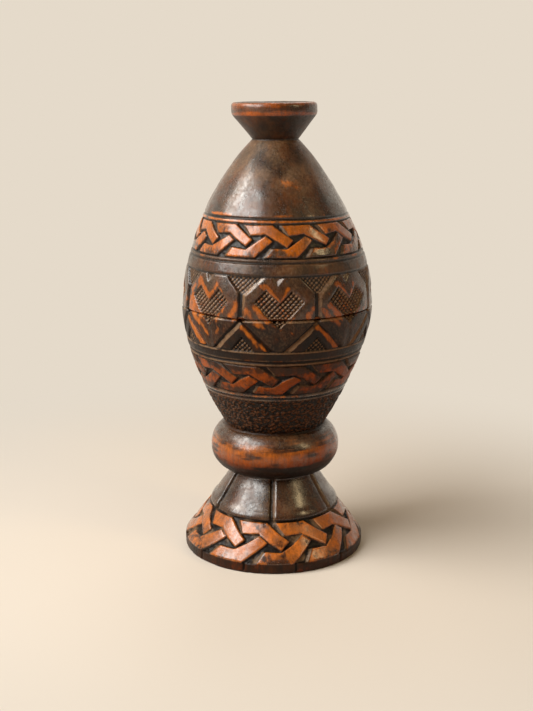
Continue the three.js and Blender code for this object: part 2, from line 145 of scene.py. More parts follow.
def wrapped(angle):
    """An angle brought to between minus and plus half a turn."""
    return (angle + np.pi) % (2 * np.pi) - np.pi


def cloud(points, cell, seed):
    """Soft random values from -1 to 1 in space, changing over about one cell."""
    table = np.random.default_rng(seed).uniform(-1, 1, 4096)
    place = points / np.asarray(cell, float)
    corner = np.floor(place).astype(np.int64)
    share = soft(place - corner)
    total = np.zeros(len(points))
    for step in np.ndindex(2, 2, 2):
        at = corner + np.array(step)
        key = (at[:, 0] * 73856093) ^ (at[:, 1] * 19349663) ^ (at[:, 2] * 83492791)
        weight = np.prod(np.where(np.array(step) == 1, share, 1 - share), axis=1)
        total += table[key & 4095] * weight
    return total


def clouds(points, cell, seed):
    """Two sizes of cloud together."""
    finer = np.asarray(cell, float) * 0.43
    return 0.68 * cloud(points, cell, seed) + 0.32 * cloud(points, finer, seed + 100)


def outline_distance(x, y, corners):
    """Distance to a closed outline, negative inside it, and the number of the nearest side."""
    nearest = np.full(x.shape, 1e9)
    side = np.zeros(x.shape, int)
    inside = np.zeros(x.shape, bool)
    for number, ((x0, y0), (x1, y1)) in enumerate(zip(corners[-1:] + corners[:-1], corners)):
        away = line_distance(x, y, (x0, y0), (x1, y1))
        side[away < nearest] = number
        nearest = np.minimum(nearest, away)
        if y0 != y1:
            crossing = x0 + (y - y0) * (x1 - x0) / (y1 - y0)
            inside ^= ((y0 > y) != (y1 > y)) & (x < crossing)
    return np.where(inside, -nearest, nearest), side


def line_distance(x, y, start, end):
    """Distance to a straight stretch."""
    along_x, along_y = end[0] - start[0], end[1] - start[1]
    length = along_x * along_x + along_y * along_y
    share = np.clip(((x - start[0]) * along_x + (y - start[1]) * along_y) / length, 0, 1)
    return np.hypot(x - start[0] - share * along_x, y - start[1] - share * along_y)


def bezier(p0, p1, p2, p3, count):
    """Points of a curve, ends included."""
    t = np.linspace(0, 1, count)[:, None]
    p0, p1, p2, p3 = map(np.array, (p0, p1, p2, p3))
    return (1 - t) ** 3 * p0 + 3 * t * (1 - t) ** 2 * p1 + 3 * t * t * (1 - t) * p2 + t ** 3 * p3


BOWL_CURVE = bezier((BOWL_BOTTOM_RADIUS, BOWL_BOTTOM), (57.0, 124.3),
                    (BELLY_RADIUS, 151.4), (BELLY_RADIUS, SEAM), 300)
LID_CURVE = bezier((BELLY_RADIUS, SEAM), (BELLY_RADIUS, 198.6),
                   (38.6, 242.8), (KNOB_NECK_RADIUS, KNOB_NECK), 300)
FOOT_CURVE = bezier((FOOT_RADIUS, FOOT_RIM_TOP), (FOOT_RADIUS, 7.7),
                    (53.8, 14.9), (NECK_BOTTOM_RADIUS, NECK_BOTTOM), 100)


def body_radius(z):
    """Outside radius of the bowl and of the lid below its knob."""
    return np.where(
        z < SEAM,
        np.interp(z, BOWL_CURVE[:, 1], BOWL_CURVE[:, 0]),
        np.interp(z, LID_CURVE[:, 1], LID_CURVE[:, 0]),
    )


def neck_radius(z):
    """The neck: a short round shoulder, then a straight taper."""
    shoulder = np.clip((z - NECK_BOTTOM) / (NECK_SHOULDER_TOP - NECK_BOTTOM), 0, 1)
    taper = np.clip((z - NECK_SHOULDER_TOP) / (COLLAR_BOTTOM - NECK_SHOULDER_TOP), 0, 1)
    start = NECK_BOTTOM_RADIUS + (NECK_SHOULDER_RADIUS - NECK_BOTTOM_RADIUS) * shoulder ** 2
    return start + (NECK_TOP_RADIUS - NECK_SHOULDER_RADIUS) * taper


def collar_radius(z):
    """The round collar, an ellipse about its core."""
    half = np.where(z < COLLAR_MIDDLE, COLLAR_LOWER_HALF, COLLAR_UPPER_HALF)
    share = np.clip((z - COLLAR_MIDDLE) / half, -1, 1)
    return COLLAR_CORE_RADIUS + (COLLAR_RADIUS - COLLAR_CORE_RADIUS) * np.sqrt(1 - share * share)


class Profile:
    """Rows of one turned piece, from axis to axis: radius, height, columns and zone of each."""

    def __init__(self):
        self.rows = []

    def add(self, zone, columns, points):
        """A row through each of these points of radius and height."""
        self.rows += [(float(r), float(z), columns, zone) for r, z in points]

    def climb(self, zone, columns, radius_at, bottom, top, step):
        """Rows up a surface, about one step apart."""
        count = max(2, int(round((top - bottom) / step)) + 1)
        heights = np.linspace(bottom, top, count)
        self.add(zone, columns, zip(radius_at(heights), heights))


def lid_profile():
    """From the ceiling of the hollow, down to the seat and up the outside to the top of the knob."""
    p = Profile()
    p.add("hollow", 1, [(0, 240.9)])
    p.add("hollow", INNER_COLUMNS, bezier(
        (9, 240.9), (31, 240.9), (HOLLOW_RADIUS, 202.4), (HOLLOW_RADIUS, 172.4), 22))
    p.add("hollow", INNER_COLUMNS, [
        (50.5, 172.1), (REBATE_RADIUS - 0.3, 172.1), (REBATE_RADIUS, 171.8), (REBATE_RADIUS, 168),
        (REBATE_RADIUS, 164), (55.3, 163.4), (55.8, LID_SEAT)])
    p.add("seat", INNER_COLUMNS, [(59.2, LID_SEAT)])
    p.add("body", LID_COLUMNS, [(59.9, LID_SEAT), (60.3, 163.32), (60.62, 163.6)])
    p.climb("body", LID_COLUMNS, body_radius, 164.1, UPPER_BELT[0] - 3.6, 0.52)
    p.climb("body", LID_COLUMNS, body_radius, UPPER_BELT[0] - 3.2, SHOULDER_BOTTOM + 0.6, 0.47)
    p.climb("body", PLAIN_COLUMNS, body_radius, SHOULDER_BOTTOM + 1.2, 228, 1.0)
    p.climb("body", PLAIN_COLUMNS, body_radius, 230, KNOB_NECK - 0.5, 2.4)
    p.add("knob", PLAIN_COLUMNS, [(14.55, KNOB_NECK), (14.8, KNOB_NECK + 0.5)])
    p.add("knob", PLAIN_COLUMNS, [(15.3 + 10.5 * s, 267.9 + 13.5 * s) for s in np.linspace(0, 1, 9)])
    p.add("knob", PLAIN_COLUMNS, [
        (26.35, 282.2), (26.7, 283.1), (KNOB_RADIUS, 284.2), (KNOB_RADIUS, 285.4), (KNOB_RADIUS, 286.6),
        (26.85, 287.7), (26.6, 288.7), (26.1, 289.4), (25.3, 289.8), (24.3, KNOB_TOP), (23.2, 289.7),
        (21.8, 289.3), (19, 289.05), (15, 288.9), (10.5, 288.8), (6, 288.75), (2.5, 288.7)])
    p.add("knob", 1, [(0, 288.7)])
    return p


def base_profile():
    """From the middle of the underside, out to the foot, up the outside and down into the hollow."""
    p = Profile()
    p.add("underside", 1, [(0, 0.5)])
    p.add("underside", PLAIN_COLUMNS, [
        (4, 0.5), (12, 0.45), (22, 0.35), (32, 0.25), (42, 0.1), (49, 0), (54, 0), (57.8, 0)])
    p.add("foot_rim", BASE_COLUMNS, [(58.6, 0.05), (59.05, 0.3), (59.25, 0.8), (59.35, 1.5)])
    p.add("foot_rim", BASE_COLUMNS, [(FOOT_RADIUS, z) for z in (2.3, 3.2, 4.1, 5.0, 5.9)])
    arc = np.insert(np.cumsum(np.hypot(*np.diff(FOOT_CURVE, axis=0).T)), 0, 0)
    stations = np.linspace(0, arc[-1], 48)
    p.add("foot", BASE_COLUMNS, zip(*(np.interp(stations, arc, FOOT_CURVE[:, i]) for i in (0, 1))))
    p.climb("neck", NECK_COLUMNS, neck_radius, NECK_BOTTOM + 0.35, NECK_SHOULDER_TOP, 0.8)
    p.climb("neck", NECK_COLUMNS, neck_radius, NECK_SHOULDER_TOP + 1.4, COLLAR_BOTTOM - 0.8, 1.8)
    p.climb("collar", COLLAR_COLUMNS, collar_radius, COLLAR_BOTTOM - 0.2, BOWL_BOTTOM - 0.4, 0.62)
    p.climb("body", STIPPLE_COLUMNS, body_radius, BOWL_BOTTOM, STIPPLE_TOP - 0.7, 0.66)
    p.climb("body", BASE_COLUMNS, body_radius, STIPPLE_TOP - 0.2, LOWER_BELT[1] + 3.3, 0.5)
    p.climb("body", FRIEZE_COLUMNS, body_radius, LOWER_BELT[1] + 3.9, 142.3, 0.65)
    p.climb("body", FRIEZE_COLUMNS, body_radius, 142.8, 161.9, 0.53)
    p.add("body", FRIEZE_COLUMNS, [(60.68, 162.3), (60.45, 162.62), (60.1, 162.82), (59.6, SEAM)])
    p.add("seat", INNER_COLUMNS, [(57, SEAM), (SPIGOT_RADIUS + 0.3, SEAM)])
    p.add("hollow", INNER_COLUMNS, [
        (SPIGOT_RADIUS, 163.2), (SPIGOT_RADIUS, 166), (SPIGOT_RADIUS, 169.6), (54.1, 170.3), (53.5, 170.8),
        (52.8, 170.9), (51.3, 170.9), (50.5, 170.7), (HOLLOW_RADIUS, 170.1)])
    p.add("hollow", INNER_COLUMNS, bezier(
        (HOLLOW_RADIUS, SEAM), (HOLLOW_RADIUS, 129.9), (37, 96.9), (13, 96.9), 22))
    p.add("hollow", INNER_COLUMNS, [(6, 96.9)])
    p.add("hollow", 1, [(0, 96.9)])
    return p


class Surface:
    """Every vertex of one piece before carving, with what the carving does to it: how far it rises, and
    from 0 to 1 how worn, pale with dust and painted highlights, dark with stain and painted shade, red,
    turned, pecked and polished it is."""

    def __init__(self, profile):
        radius, height, columns, zones = zip(*profile.rows)
        self.columns = np.array(columns)
        self.row_radius, self.row_height = np.array(radius), np.array(height)
        self.first = np.insert(np.cumsum(self.columns), 0, 0)
        self.row = np.repeat(np.arange(len(columns)), self.columns)
        step = np.concatenate([np.arange(n) for n in columns])
        self.angle = wrapped(np.pi + 2 * np.pi * step / self.columns[self.row])
        self.zone = np.array(zones)[self.row]
        self.r, self.z = self.row_radius[self.row], self.row_height[self.row]
        self.lean_r, self.lean_z = self.facing()
        self.points = self.turned_points(self.r, self.z)
        plain = np.zeros((7, len(self.z)))
        self.rise, self.worn, self.dust, self.dark, self.red, self.turned, self.pecked = plain
        self.polish = np.ones(len(self.z))

    def facing(self):
        """The outward direction of each row, across and up."""
        across = np.gradient(self.row_radius)
        up = np.gradient(self.row_height)
        length = np.maximum(np.hypot(across, up), 1e-9)
        return (up / length)[self.row], (-across / length)[self.row]

    def turned_points(self, radius, height):
        """The vertices at these radii and heights. Angle 0 is at the front."""
        return np.column_stack([radius * np.sin(self.angle), -radius * np.cos(self.angle), height])

    def where(self, zone, bottom=-1e9, top=1e9):
        """The vertices of a zone between two heights."""
        return np.flatnonzero((self.zone == zone) & (self.z >= bottom) & (self.z <= top))

    def arc(self):
        """The way along the profile up to each row."""
        steps = np.hypot(np.diff(self.row_radius), np.diff(self.row_height))
        return np.insert(np.cumsum(steps), 0, 0)

    def at_least(self, mark, at, value):
        """Brings one kind of mark, such as dust, up to a value where it is lower."""
        marks = getattr(self, mark)
        marks[at] = np.maximum(marks[at], value)


def plait(wood, at, share, tall, belt):
    """A belt of flat raised strands with sloped tails on a sunk ground."""
    seed = belt["seed"]
    rng = np.random.default_rng(seed)
    pitch = 2 * np.pi / belt["repeats"]
    angle, girth, points = wood.angle[at], wood.r[at], wood.points[at]
    rise = 0.3 * cloud(points, 1.7, seed) - PLAIT_DEPTH
    worn, tail_dust, rim_dust, stained = np.zeros((4, len(at)))
    y = share * tall
    for repeat in range(belt["repeats"]):
        for upper, outline in ((True, UPPER_STRAND), (False, LOWER_STRAND)):
            bend = math.radians(belt["turn"]) + repeat * pitch
            away = wrapped(angle - bend - 0.2 * pitch)
            near = np.flatnonzero(np.abs(away) < 1.15 * pitch)
            x = girth[near] * (away[near] + 0.2 * pitch)
            jitter = rng.normal(0, belt["jitter"], (len(outline), 2))
            stain = rng.normal(0, belt["stain_spread"]) + (0 if upper else belt["lower_stain"])
            tilt_across, tilt_up = rng.normal(0, 0.24, 2)
            corners = [
                (s * pitch * np.interp(v, belt["shares"], belt["girths"]) + jx,
                 v * tall + (jy if 0 < v < 1 else 0))
                for (s, v), (jx, jy) in zip(outline, jitter)
            ]
            slant = belt["upper_tail"] if upper else belt["lower_tail"]
            other = 1 if upper else -1
            (x0, y0), (x1, y1) = corners[0], corners[other]
            length = math.hypot(x1 - x0, y1 - y0)
            normal = (-abs(y1 - y0) / length, (x1 - x0) / length * (1 if y1 > y0 else -1))
            behind = (x - x0) * normal[0] + (y[near] - y0) * normal[1]
            corners[0] = (x0 - slant, y0)
            corners[other] = (x1 - slant, y1 - (0.6 if upper else -0.6))
            edge = outline_distance(x, y[near], corners)[0] - belt["widen"]
            along = smooth(-2.0, 12.0, -behind)
            tilt = tilt_across * (x - corners[3][0]) / 9 + tilt_up * (2 * share[near] - 1)
            top = -0.36 * (1 - along) - 0.14 * smooth(-0.95, 0, edge)
            top = top + 0.06 * cloud(points[near], 2.6, seed + 1) - 0.12
            top = top + np.clip(tilt, -0.5, 0.12) - np.clip(behind, 0, slant) * 0.66
            wall = smooth(-0.3, 0.35, edge)
            level = top * (1 - wall) + rise[near] * wall
            higher = (edge < 0.4) & (level > rise[near] + 1e-6)
            spot = near[higher]
            rise[spot] = level[higher]
            face = smooth(0.1, -0.35, edge[higher])
            slope = smooth(-0.2, 0.6, behind[higher])
            worn[spot] = np.maximum(worn[spot] * (1 - face), face * (1 - slope))
            tail_dust[spot] = np.maximum(tail_dust[spot] * (1 - face), face * slope)
            rim_dust[spot] = smooth(-0.75, -0.25, edge[higher]) * smooth(0.2, -0.15, edge[higher])
            stained[spot] = stained[spot] * (1 - face) + stain * face
    patch = 0.8 * clouds(points, (7.5, 7.5, 5.5), seed + 7) + 0.35 * clouds(points, (2.2, 2.2, 1.6), seed + 8)
    low_dark = 0.3 * smooth(0.3, 0.08, share) + belt["top_dark"] * smooth(0.7, 0.9, share)
    keep = np.clip(belt["wear"] - low_dark - stained + belt["patchy"] * patch, 0, 1)
    ground = smooth(-1.0, -1.6, rise) * (1 - worn)
    settled = belt["ground"] * ground * smooth(-0.35, 0.5, cloud(points, (6, 6, 5), seed + 9))
    wood.rise[at] = rise
    wood.worn[at] = worn * keep
    # The pale rims along the strands' edges are partly dust and partly a painted highlight
    wood.dust[at] = np.maximum.reduce([0.62 * tail_dust, belt["rims"] * rim_dust, settled])
    # Painted shade darkens the sunk ground
    wood.dark[at] = smooth(-0.7, -1.4, rise) * (1 - 0.25 * settled)
    wood.red[at] = belt["redness"]
    wood.polish[at] = belt["gloss"] * (0.35 + 0.65 * worn)


def beyond(x, y, side):
    """How far out over one sloped side a point lies: 0 at the flat top, 1 at the foot of the slope."""
    (px, py), (across, up), width = side
    return ((x - px) * across + (y - py) * up) / width


def pegs(x, y, pitch):
    """Rows of small pegs left between slanting knife cuts: 0 in the cuts, 1 on a peg."""
    u, v = (x + y) / (pitch * DIAGONAL), (x - y) / (pitch * DIAGONAL)
    ridge = 1 - np.abs(2 * (v % 1) - 1) ** 2.2
    cross = 1 - np.abs(2 * (u % 1) - 1) ** 2.2
    return ridge * (0.28 + 0.72 * cross)


def eased(share):
    """A flat facet whose two ends are rounded a little by wear."""
    share = np.clip(share, 0, 1)
    return 0.75 * share + 0.25 * soft(share)


def frieze(wood, at, seed=31):
    """Shields across the seam, each with a pecked heart; between them joints, chevrons and fields."""
    points = wood.points[at]
    girth = 2 * np.pi * BELLY_RADIUS / SHIELD_COUNT
    turned = (wood.angle[at] - math.radians(SHIELD_TURN)) * SHIELD_COUNT / (2 * np.pi)
    shield = np.round(turned)
    number = (shield % SHIELD_COUNT).astype(int)
    x = (turned - shield) * girth
    y = wood.z[at] - SEAM
    below = smooth(-0.3, -1.0, y)
    # How each shield differs. Those that the photograph shows, numbers 0, 1 and 7, are given one by one
    rng = np.random.default_rng(seed)
    slip = rng.uniform(-0.7, 0.7, (SHIELD_COUNT, 2))
    slip[0] = 0
    strength = rng.uniform(0.5, 1.0, SHIELD_COUNT)
    strength[[0, 1, 7]] = 1.0, 0.95, 1.0
    handled = rng.uniform(0, 0.12, SHIELD_COUNT)
    handled[[0, 1, 7]] = 0.04, 0.0, 0.26
    # The plate of the shield with the notch in its top
    sway = 0.3 * cloud(points, 9, seed + 1)
    sides = [beyond(x + sway, y + sway, side) for side in SHIELD_SIDES]
    plate, nearest = eased(np.max(sides, axis=0)), np.argmax(sides, axis=0)
    notch = eased(np.min([beyond(x + sway, y, side) for side in NOTCH_SIDES], axis=0))
    # The chevron between two shields, from the one on its left and the one on its right
    from_left = np.where(x >= 0, x, x + girth)
    right_arm, left_arm = (
        beyond(across + sway, y + sway, SHIELD_SIDES[side]) * SHIELD_SIDES[side][2]
        for across, side in ((from_left, LOWER_RIGHT), (from_left - girth, LOWER_LEFT)))
    wide_arm, narrow_arm = (right_arm - 1.2) / 3.3, (left_arm - 2.3) / 0.9
    chevron = eased(np.minimum(wide_arm, narrow_arm)) * below
    # The pecked fields under the chevrons and over the shields
    to_joint = np.abs(from_left - girth / 2)
    field = smooth(0.4, -0.3, (to_joint / 8.2 + (y + 20.0) / 9.6 - 1) * 6)
    field = field * smooth(-19.9, -19.3, y) * below
    top_field = (plate > 0.97) * smooth(15.6, 16.8, y)
    hatch = pegs(x, y, HATCH_PITCH)
    rough = 0.1 * cloud(points, 2.2, seed + 2)
    rise = -SHIELD_DEPTH * np.maximum(plate, notch) + (SHIELD_DEPTH - 0.2) * chevron
    rise = rise + rough * (plate > 0.5)
    rise = rise - top_field * (0.75 - 0.95 * hatch) - field * (2.0 - 1.2 * hatch)
    # The sunk heart with its pegs
    heart_x, heart_y = x - slip[number, 0], y - slip[number, 1] * smooth(-3, 4, y)
    heart, wall = outline_distance(heart_x, heart_y, HEART)
    sunk = np.clip(-heart / np.array(HEART_WALLS)[wall], 0, 1)
    peg = pegs(heart_x, heart_y, PEG_PITCH)
    rise = rise * (1 - sunk) + (-2.6 + 2.2 * peg + rough) * sunk
    worn_edge = smooth(1.4, 0.1, np.abs(heart)) * (sunk <= 0)
    keel = smooth(3.6, 0.3, np.abs(x)) * smooth(-6.0, -9.0, y) * (plate < 0.5)
    wood.rise[at] = rise - 0.22 * worn_edge * (plate < 0.05) - 0.3 * keel
    # Rubbing, in slanting streaks
    slant = np.column_stack([(x - y) / DIAGONAL, (x + y) / DIAGONAL, 40.0 * number])
    patch = 0.8 * clouds(slant, (8.5, 2.8, 1), seed + 3) + 0.45 * clouds(slant, (3.4, 1.3, 1), seed + 4)
    outside = smooth(-0.1, 0.25, heart)
    marks = 0.62 * smooth(1.8, 0.2, heart) * outside
    for start, end, half, much in RUBBED_STREAKS:
        away = line_distance(x, y, start, end)
        rubbed = 0.66 * smooth(2.3 * half, 0, away) + 0.55 * smooth(6.0 * half, 0, away)
        marks = np.maximum(marks, much * rubbed * outside)
    marks = marks * strength[number] * (plate < 0.9)
    away = np.abs(left_arm - 4.1)
    strip = 0.66 * smooth(2.8, 0.2, away) + 0.5 * smooth(7.0, 0, away)
    strip = strip * below * smooth(2.2, 4.4, right_arm)
    to_right = (shield % SHIELD_COUNT + (x >= 0)).astype(int) % SHIELD_COUNT
    marks = np.maximum(marks, 1.2 * strip * strength[to_right])
    worn = smooth(-0.12, 1.4, marks + 0.6 * patch - 0.1 + handled[number] * (plate < 0.9))
    worn = np.maximum(worn * (1 - sunk), 0.8 * sunk * smooth(0.5, 0.85, peg) * smooth(-0.2, 0.4, patch))
    wood.worn[at] = np.clip(worn, 0, 1)
    # Painted highlights as a pale film: on the slopes that face the light, in the notch, along the top edges
    # of the slopes, on the heart's walls that face the light and on the tops of the pegs and of the hatching
    facing_left = np.isin(nearest, LEFT_SIDES)
    upper_slope = facing_left * (plate > 0.1) * (plate < 0.93) * (nearest != LOWER_LEFT)
    chevron_slope = (chevron > 0.08) * (chevron < 0.92) * (wide_arm < narrow_arm)
    notch_slope = (notch > 0.1) * (notch < 0.97)
    pale = np.clip(0.85 * upper_slope + 0.95 * chevron_slope + 0.55 * notch_slope, 0, 1)
    pale = pale * (0.85 + 0.35 * clouds(points, (6, 6, 4), seed + 5))
    crest = smooth(0.35, 0.0, np.abs(plate - 0.04)) * 0.28 * (sunk <= 0)
    glint = 0.95 * smooth(0.2, 0.5, sunk) * smooth(1.0, 0.8, sunk) * np.isin(wall, (1, 2, 4))
    peg_tops = 1.3 * sunk * smooth(0.42, 0.72, peg) * smooth(-1.4, 0.1, patch)
    peg_tops = np.maximum(peg_tops, 0.8 * np.maximum(field, top_field) * smooth(0.5, 0.8, hatch))
    wood.dust[at] = np.clip(np.maximum.reduce([crest, pale, glint, peg_tops]), 0, 1) * (1 - worn)
    # Painted shade in the cuts between the pegs and in the hatching and on the steep slopes turned from the
    # light, dark joints, and stain on the rest, darker below the seam
    grooves = np.clip(field * smooth(0.6, 0.15, hatch) + top_field * smooth(0.6, 0.15, hatch)
                      + sunk * smooth(0.55, 0.1, peg), 0, 1)
    joint = (plate > 0.97) * (1 - chevron) * (1 - top_field)
    steep_slope = ~facing_left * (plate > 0.05) * (plate <= 0.97)
    shaded_sides = (0.95 * joint + 0.6 * steep_slope) * (1 - 0.85 * strip * worn)
    stained = 0.08 + 0.5 * smooth(-0.1, 0.6, clouds(slant, (15, 4.5, 1), seed + 6))
    stained = (stained + 0.38 * below * (pale < 0.1)) * (1 - worn) * (1 - 0.8 * sunk)
    wood.dark[at] = np.clip(grooves + shaded_sides + stained, 0, 1)
    wood.red[at] = 0.15
    wood.polish[at] = (0.35 + 0.5 * (plate < 0.97) * (1 - sunk)) * (1 - 0.65 * below)


def ring_cuts(wood, at, middles, depth, width):
    """V grooves turned round the body, a little unsteady as cut by hand."""
    sway = 0.22 * cloud(wood.points[at] * (1, 1, 0), 21, 5)
    for middle in middles:
        away = np.abs(wood.z[at] + sway - middle)
        cut = np.clip(1 - away / (0.55 * width), 0, 1)
        wood.rise[at] -= depth * cut ** 0.75
        # Painted shade darkens the groove
        wood.at_least("dark", at, smooth(0.12, 0.6, cut))
        wood.worn[at] *= 1 - smooth(0.0, 0.25, cut)


def ridge_light(wood, at, middle, width, worn, dust, seed):
    """The narrow ridge beside a groove: rubbed bare in places, and pale in others with dust and a painted
    highlight.
    """
    points = wood.points[at]
    on = smooth(0.62 * width, 0.3 * width, np.abs(wood.z[at] - middle))
    patch = clouds(points, (9, 9, 6), seed)
    thin = 0.45 * clouds(points, (2.5, 2.5, 2.5), seed + 2)
    wood.at_least("worn", at, on * smooth(0.1, 0.5, worn + 0.6 * patch))
    wood.at_least("dust", at, on * dust * smooth(-0.5, 0.5, 0.4 - patch - thin))
    wood.rise[at] -= on * (0.18 + 0.12 * cloud(points, 4, seed + 1))


def stipple(wood, at, seed=61):
    """The chip-textured cone under the lower plait: small uneven pits all over."""
    arc = wood.arc()[wood.row[at]]
    x = (wood.angle[at] / (2 * np.pi) + 0.5) * STIPPLE_COUNT
    y = (arc - arc.min()) / STIPPLE_PITCH
    rng = np.random.default_rng(seed)
    rows = int(y.max()) + 4
    offset = rng.uniform(-0.3, 0.3, (rows, STIPPLE_COUNT, 2))
    size = rng.uniform(0.55, 1.0, (rows, STIPPLE_COUNT))
    best = np.zeros(len(at))
    base_x, base_y = np.floor(x).astype(int), np.floor(y).astype(int)
    for dx in (-1, 0, 1):
        for dy in (-1, 0, 1):
            cx, cy = base_x + dx, np.clip(base_y + dy, -1, rows - 2)
            pit = cy + 1, cx % STIPPLE_COUNT
            px = x - (cx + 0.25 + 0.5 * (cy % 2) + offset[pit][:, 0])
            py = y - (cy + 0.5 + offset[pit][:, 1])
            best = np.maximum(best, size[pit] * (1 - (px / 0.62) ** 2 - (py / 0.52) ** 2))
    fade = smooth(STIPPLE_TOP - 0.6, STIPPLE_TOP - 1.6, wood.z[at]) * smooth(83.6, 84.6, wood.z[at])
    best = np.clip(best, 0, 1) * fade
    wood.rise[at] -= STIPPLE_DEPTH * best ** 0.8
    # Darker all over the cone, and darker still in the pits, where it is painted shade
    wood.at_least("dark", at, 0.4 + 0.4 * smooth(0.05, 0.5, best))
    crown = smooth(0.14, 0.0, best) * fade
    wood.worn[at] = 0.14 * crown * smooth(-0.2, 0.5, clouds(wood.points[at], 6, seed + 1))
    wood.pecked[at] = fade
    wood.polish[at] = 0.05


def hand_marks(wood, at, depth, cell, seed):
    """The slight unevenness that a knife and rubbing leave on plain wood."""
    wood.rise[at] += depth * (clouds(wood.points[at], cell, seed) - 0.6)


def flutes(wood, at):
    """V grooves down the neck, with painted shade inside and a painted highlight on the bevel on the
    right-hand side.
    """
    pitch = 2 * np.pi / FLUTE_COUNT
    away = wrapped(wood.angle[at] - math.radians(FLUTE_TURN))
    x = (away - np.round(away / pitch) * pitch) * wood.r[at] + 0.175 * (wood.z[at] - 40) / 14
    cut = np.where(x > -0.3, smooth(3.1, -0.3, x), smooth(-1.9, -0.5, x))
    wood.rise[at] -= FLUTE_DEPTH * cut
    wood.at_least("dark", at, smooth(-1.8, -1.1, x) * smooth(0.9, 0.2, x))
    wood.at_least("dust", at, 0.55 * smooth(0.6, 1.1, x) * smooth(3.0, 2.0, x))


# Each plait: how many repeats, its turn in degrees, the radii of its outlines at shares of its height,
# how uneven its corners are, the lengths of the sloped tails, and how wear, stain, dust, pale rims that are
# partly a painted highlight, and polish lie
UPPER_PLAIT = dict(
    repeats=13, turn=-3.2, shares=(0, 1), girths=(55.0, 48.3), jitter=0.22, upper_tail=1.9, lower_tail=2.5,
    widen=0.05, wear=1.12, redness=0.0, patchy=0.85, top_dark=0.0, stain_spread=0.16, lower_stain=0.24,
    rims=0.34, ground=0.16, gloss=1.0, seed=11)
LOWER_PLAIT = dict(
    repeats=12, turn=-12.3, shares=(0, 1), girths=(47.9, 55.6), jitter=0.3, upper_tail=1.5, lower_tail=2.2,
    widen=0.3, wear=0.7, redness=0.75, patchy=0.42, top_dark=0.4, stain_spread=0.12, lower_stain=-0.1,
    rims=0.42, ground=0.36, gloss=0.12, seed=41)
FOOT_PLAIT = dict(
    repeats=11, turn=-6.2, shares=(0, 0.5, 1), girths=(59.4, 53.5, 43.4), jitter=0.3, upper_tail=1.8,
    lower_tail=2.4, widen=0.25, wear=1.06, redness=0.2, patchy=0.75, top_dark=0.3, stain_spread=0.15,
    lower_stain=0.04, rims=0.34, ground=0.66, gloss=1.0, seed=71)

# Rings round the body: the ridges beside the grooves (height, width, share rubbed bare, share pale with dust
# and a painted highlight, seed of the patches), then the heights of the grooves with their depth and width
LID_RINGS = [
    ([(198.3, 1.5, 0.05, 0.35, 20), (220.4, 1.5, 0.62, 0.1, 21)], (196.7, 222.0), GROOVE_DEPTH, GROOVE_WIDTH),
    ([], (189.0,), 0.9, 1.5),
]
BASE_RINGS = [
    ([(112.3, 1.5, 0.1, 0.55, 50), (134.5, 1.5, 0.1, 0.75, 51), (109.4, 0.9, 0.1, 0.55, 52)],
     (110.8, 136.0), GROOVE_DEPTH, GROOVE_WIDTH),
    ([(142.3, 1.1, 0.0, 0.95, 53), (137.3, 0.9, 0.0, 0.5, 54)], (143.25,), 0.7, 0.9),
]

# Rubbed spots on the shoulder: turn from the front in degrees, height, reach across and up, strength
SHOULDER_RUBS = [
    (-50, 223.4, 15, 1.5, 1.0), (-42, 226, 1.8, 2.8, 0.75), (5, 223.3, 9, 1.6, 0.95),
    (27, 223.3, 7, 1.3, 0.8), (14, 242, 9, 5.6, 0.6), (25, 240, 5.5, 4.2, 0.5), (7, 237, 4.4, 5.2, 0.46),
    (-12, 247, 5.4, 4.2, 0.4), (95, 223.4, 12, 1.6, 0.8), (150, 223.6, 9, 1.5, 0.9),
    (-140, 223.5, 11, 1.8, 0.8), (-150, 243, 4, 3, 0.4), (120, 239, 5, 3, 0.4),
]

# Wear and shadow of the collar by height
COLLAR_WEAR = ((54, 58, 62, 66, 69, 73, 77, 81, 86), (0.05, 0.12, 0.4, 0.78, 0.76, 0.6, 0.46, 0.3, 0.1))
COLLAR_SHADOW = ((54, 58, 62, 66, 74), (0.95, 0.85, 0.6, 0.2, 0.0))

# The lean of the whole box by height, to the right, and the slope and drop of the knob
LEAN = ((0, 45, 69, 100, 125, 150, 176, 200, 235, 265, 280, 290),
        (-2.2, -1.8, -1.3, -1.4, -1.1, -0.25, 0.15, -0.1, -1.4, -1.3, -1.9, -2.2))
KNOB_SLOPE, KNOB_DROP = 0.008, 0.31


def body_plait(wood, heights, tall, belt):
    """A plait between two rings of the body."""
    low, high = heights[0] + PLAIT_EDGE_GAP, heights[1] - PLAIT_EDGE_GAP
    at = wood.where("body", *heights)
    plait(wood, at, (wood.z[at] - low) / (high - low), tall, belt)


def body_rings(wood, bottom, top, rings):
    """The ridges and grooves of a table, in its order."""
    at = wood.where("body", bottom, top)
    for ridges, heights, depth, width in rings:
        for ridge in ridges:
            ridge_light(wood, at, *ridge)
        ring_cuts(wood, at, heights, depth, width)


def dress_shoulder(wood):
    """The smooth shoulder: rubbed spots, a pale haze that grows upwards, partly dust and partly a painted
    sheen, and a polish that fades upwards.
    """
    at = wood.where("body", SHOULDER_BOTTOM, 270)
    hand_marks(wood, at, 0.22, (14, 14, 10), 6)
    points, height = wood.points[at], wood.z[at]
    marks = np.zeros(len(at))
    for turn, middle, wide, high, much in SHOULDER_RUBS:
        across = wrapped(wood.angle[at] - math.radians(turn)) * wood.r[at] / wide
        marks = np.maximum(marks, much * smooth(1.6, 0.2, np.hypot(across, (height - middle) / high)))
    around = 0.75 * smooth(225.2, 223.4, height) * smooth(-0.1, 0.5, clouds(points, (12, 12, 12), 19))
    rub = clouds(points, (5, 5, 3), 8)
    worn = smooth(0.0, 1.2, np.maximum(marks, around) + 0.7 * rub * marks - 0.04)
    haze_and_sheen = 0.34 * smooth(226, 254, height) + 0.3 * clouds(points, (10, 10, 8), 22)
    wood.worn[at] = worn
    wood.red[at] = 0.1
    wood.dust[at] = np.clip(haze_and_sheen + 0.5 * worn * (height > 230), 0, 1)
    wood.polish[at] = 1 - 0.55 * smooth(236, 258, height)


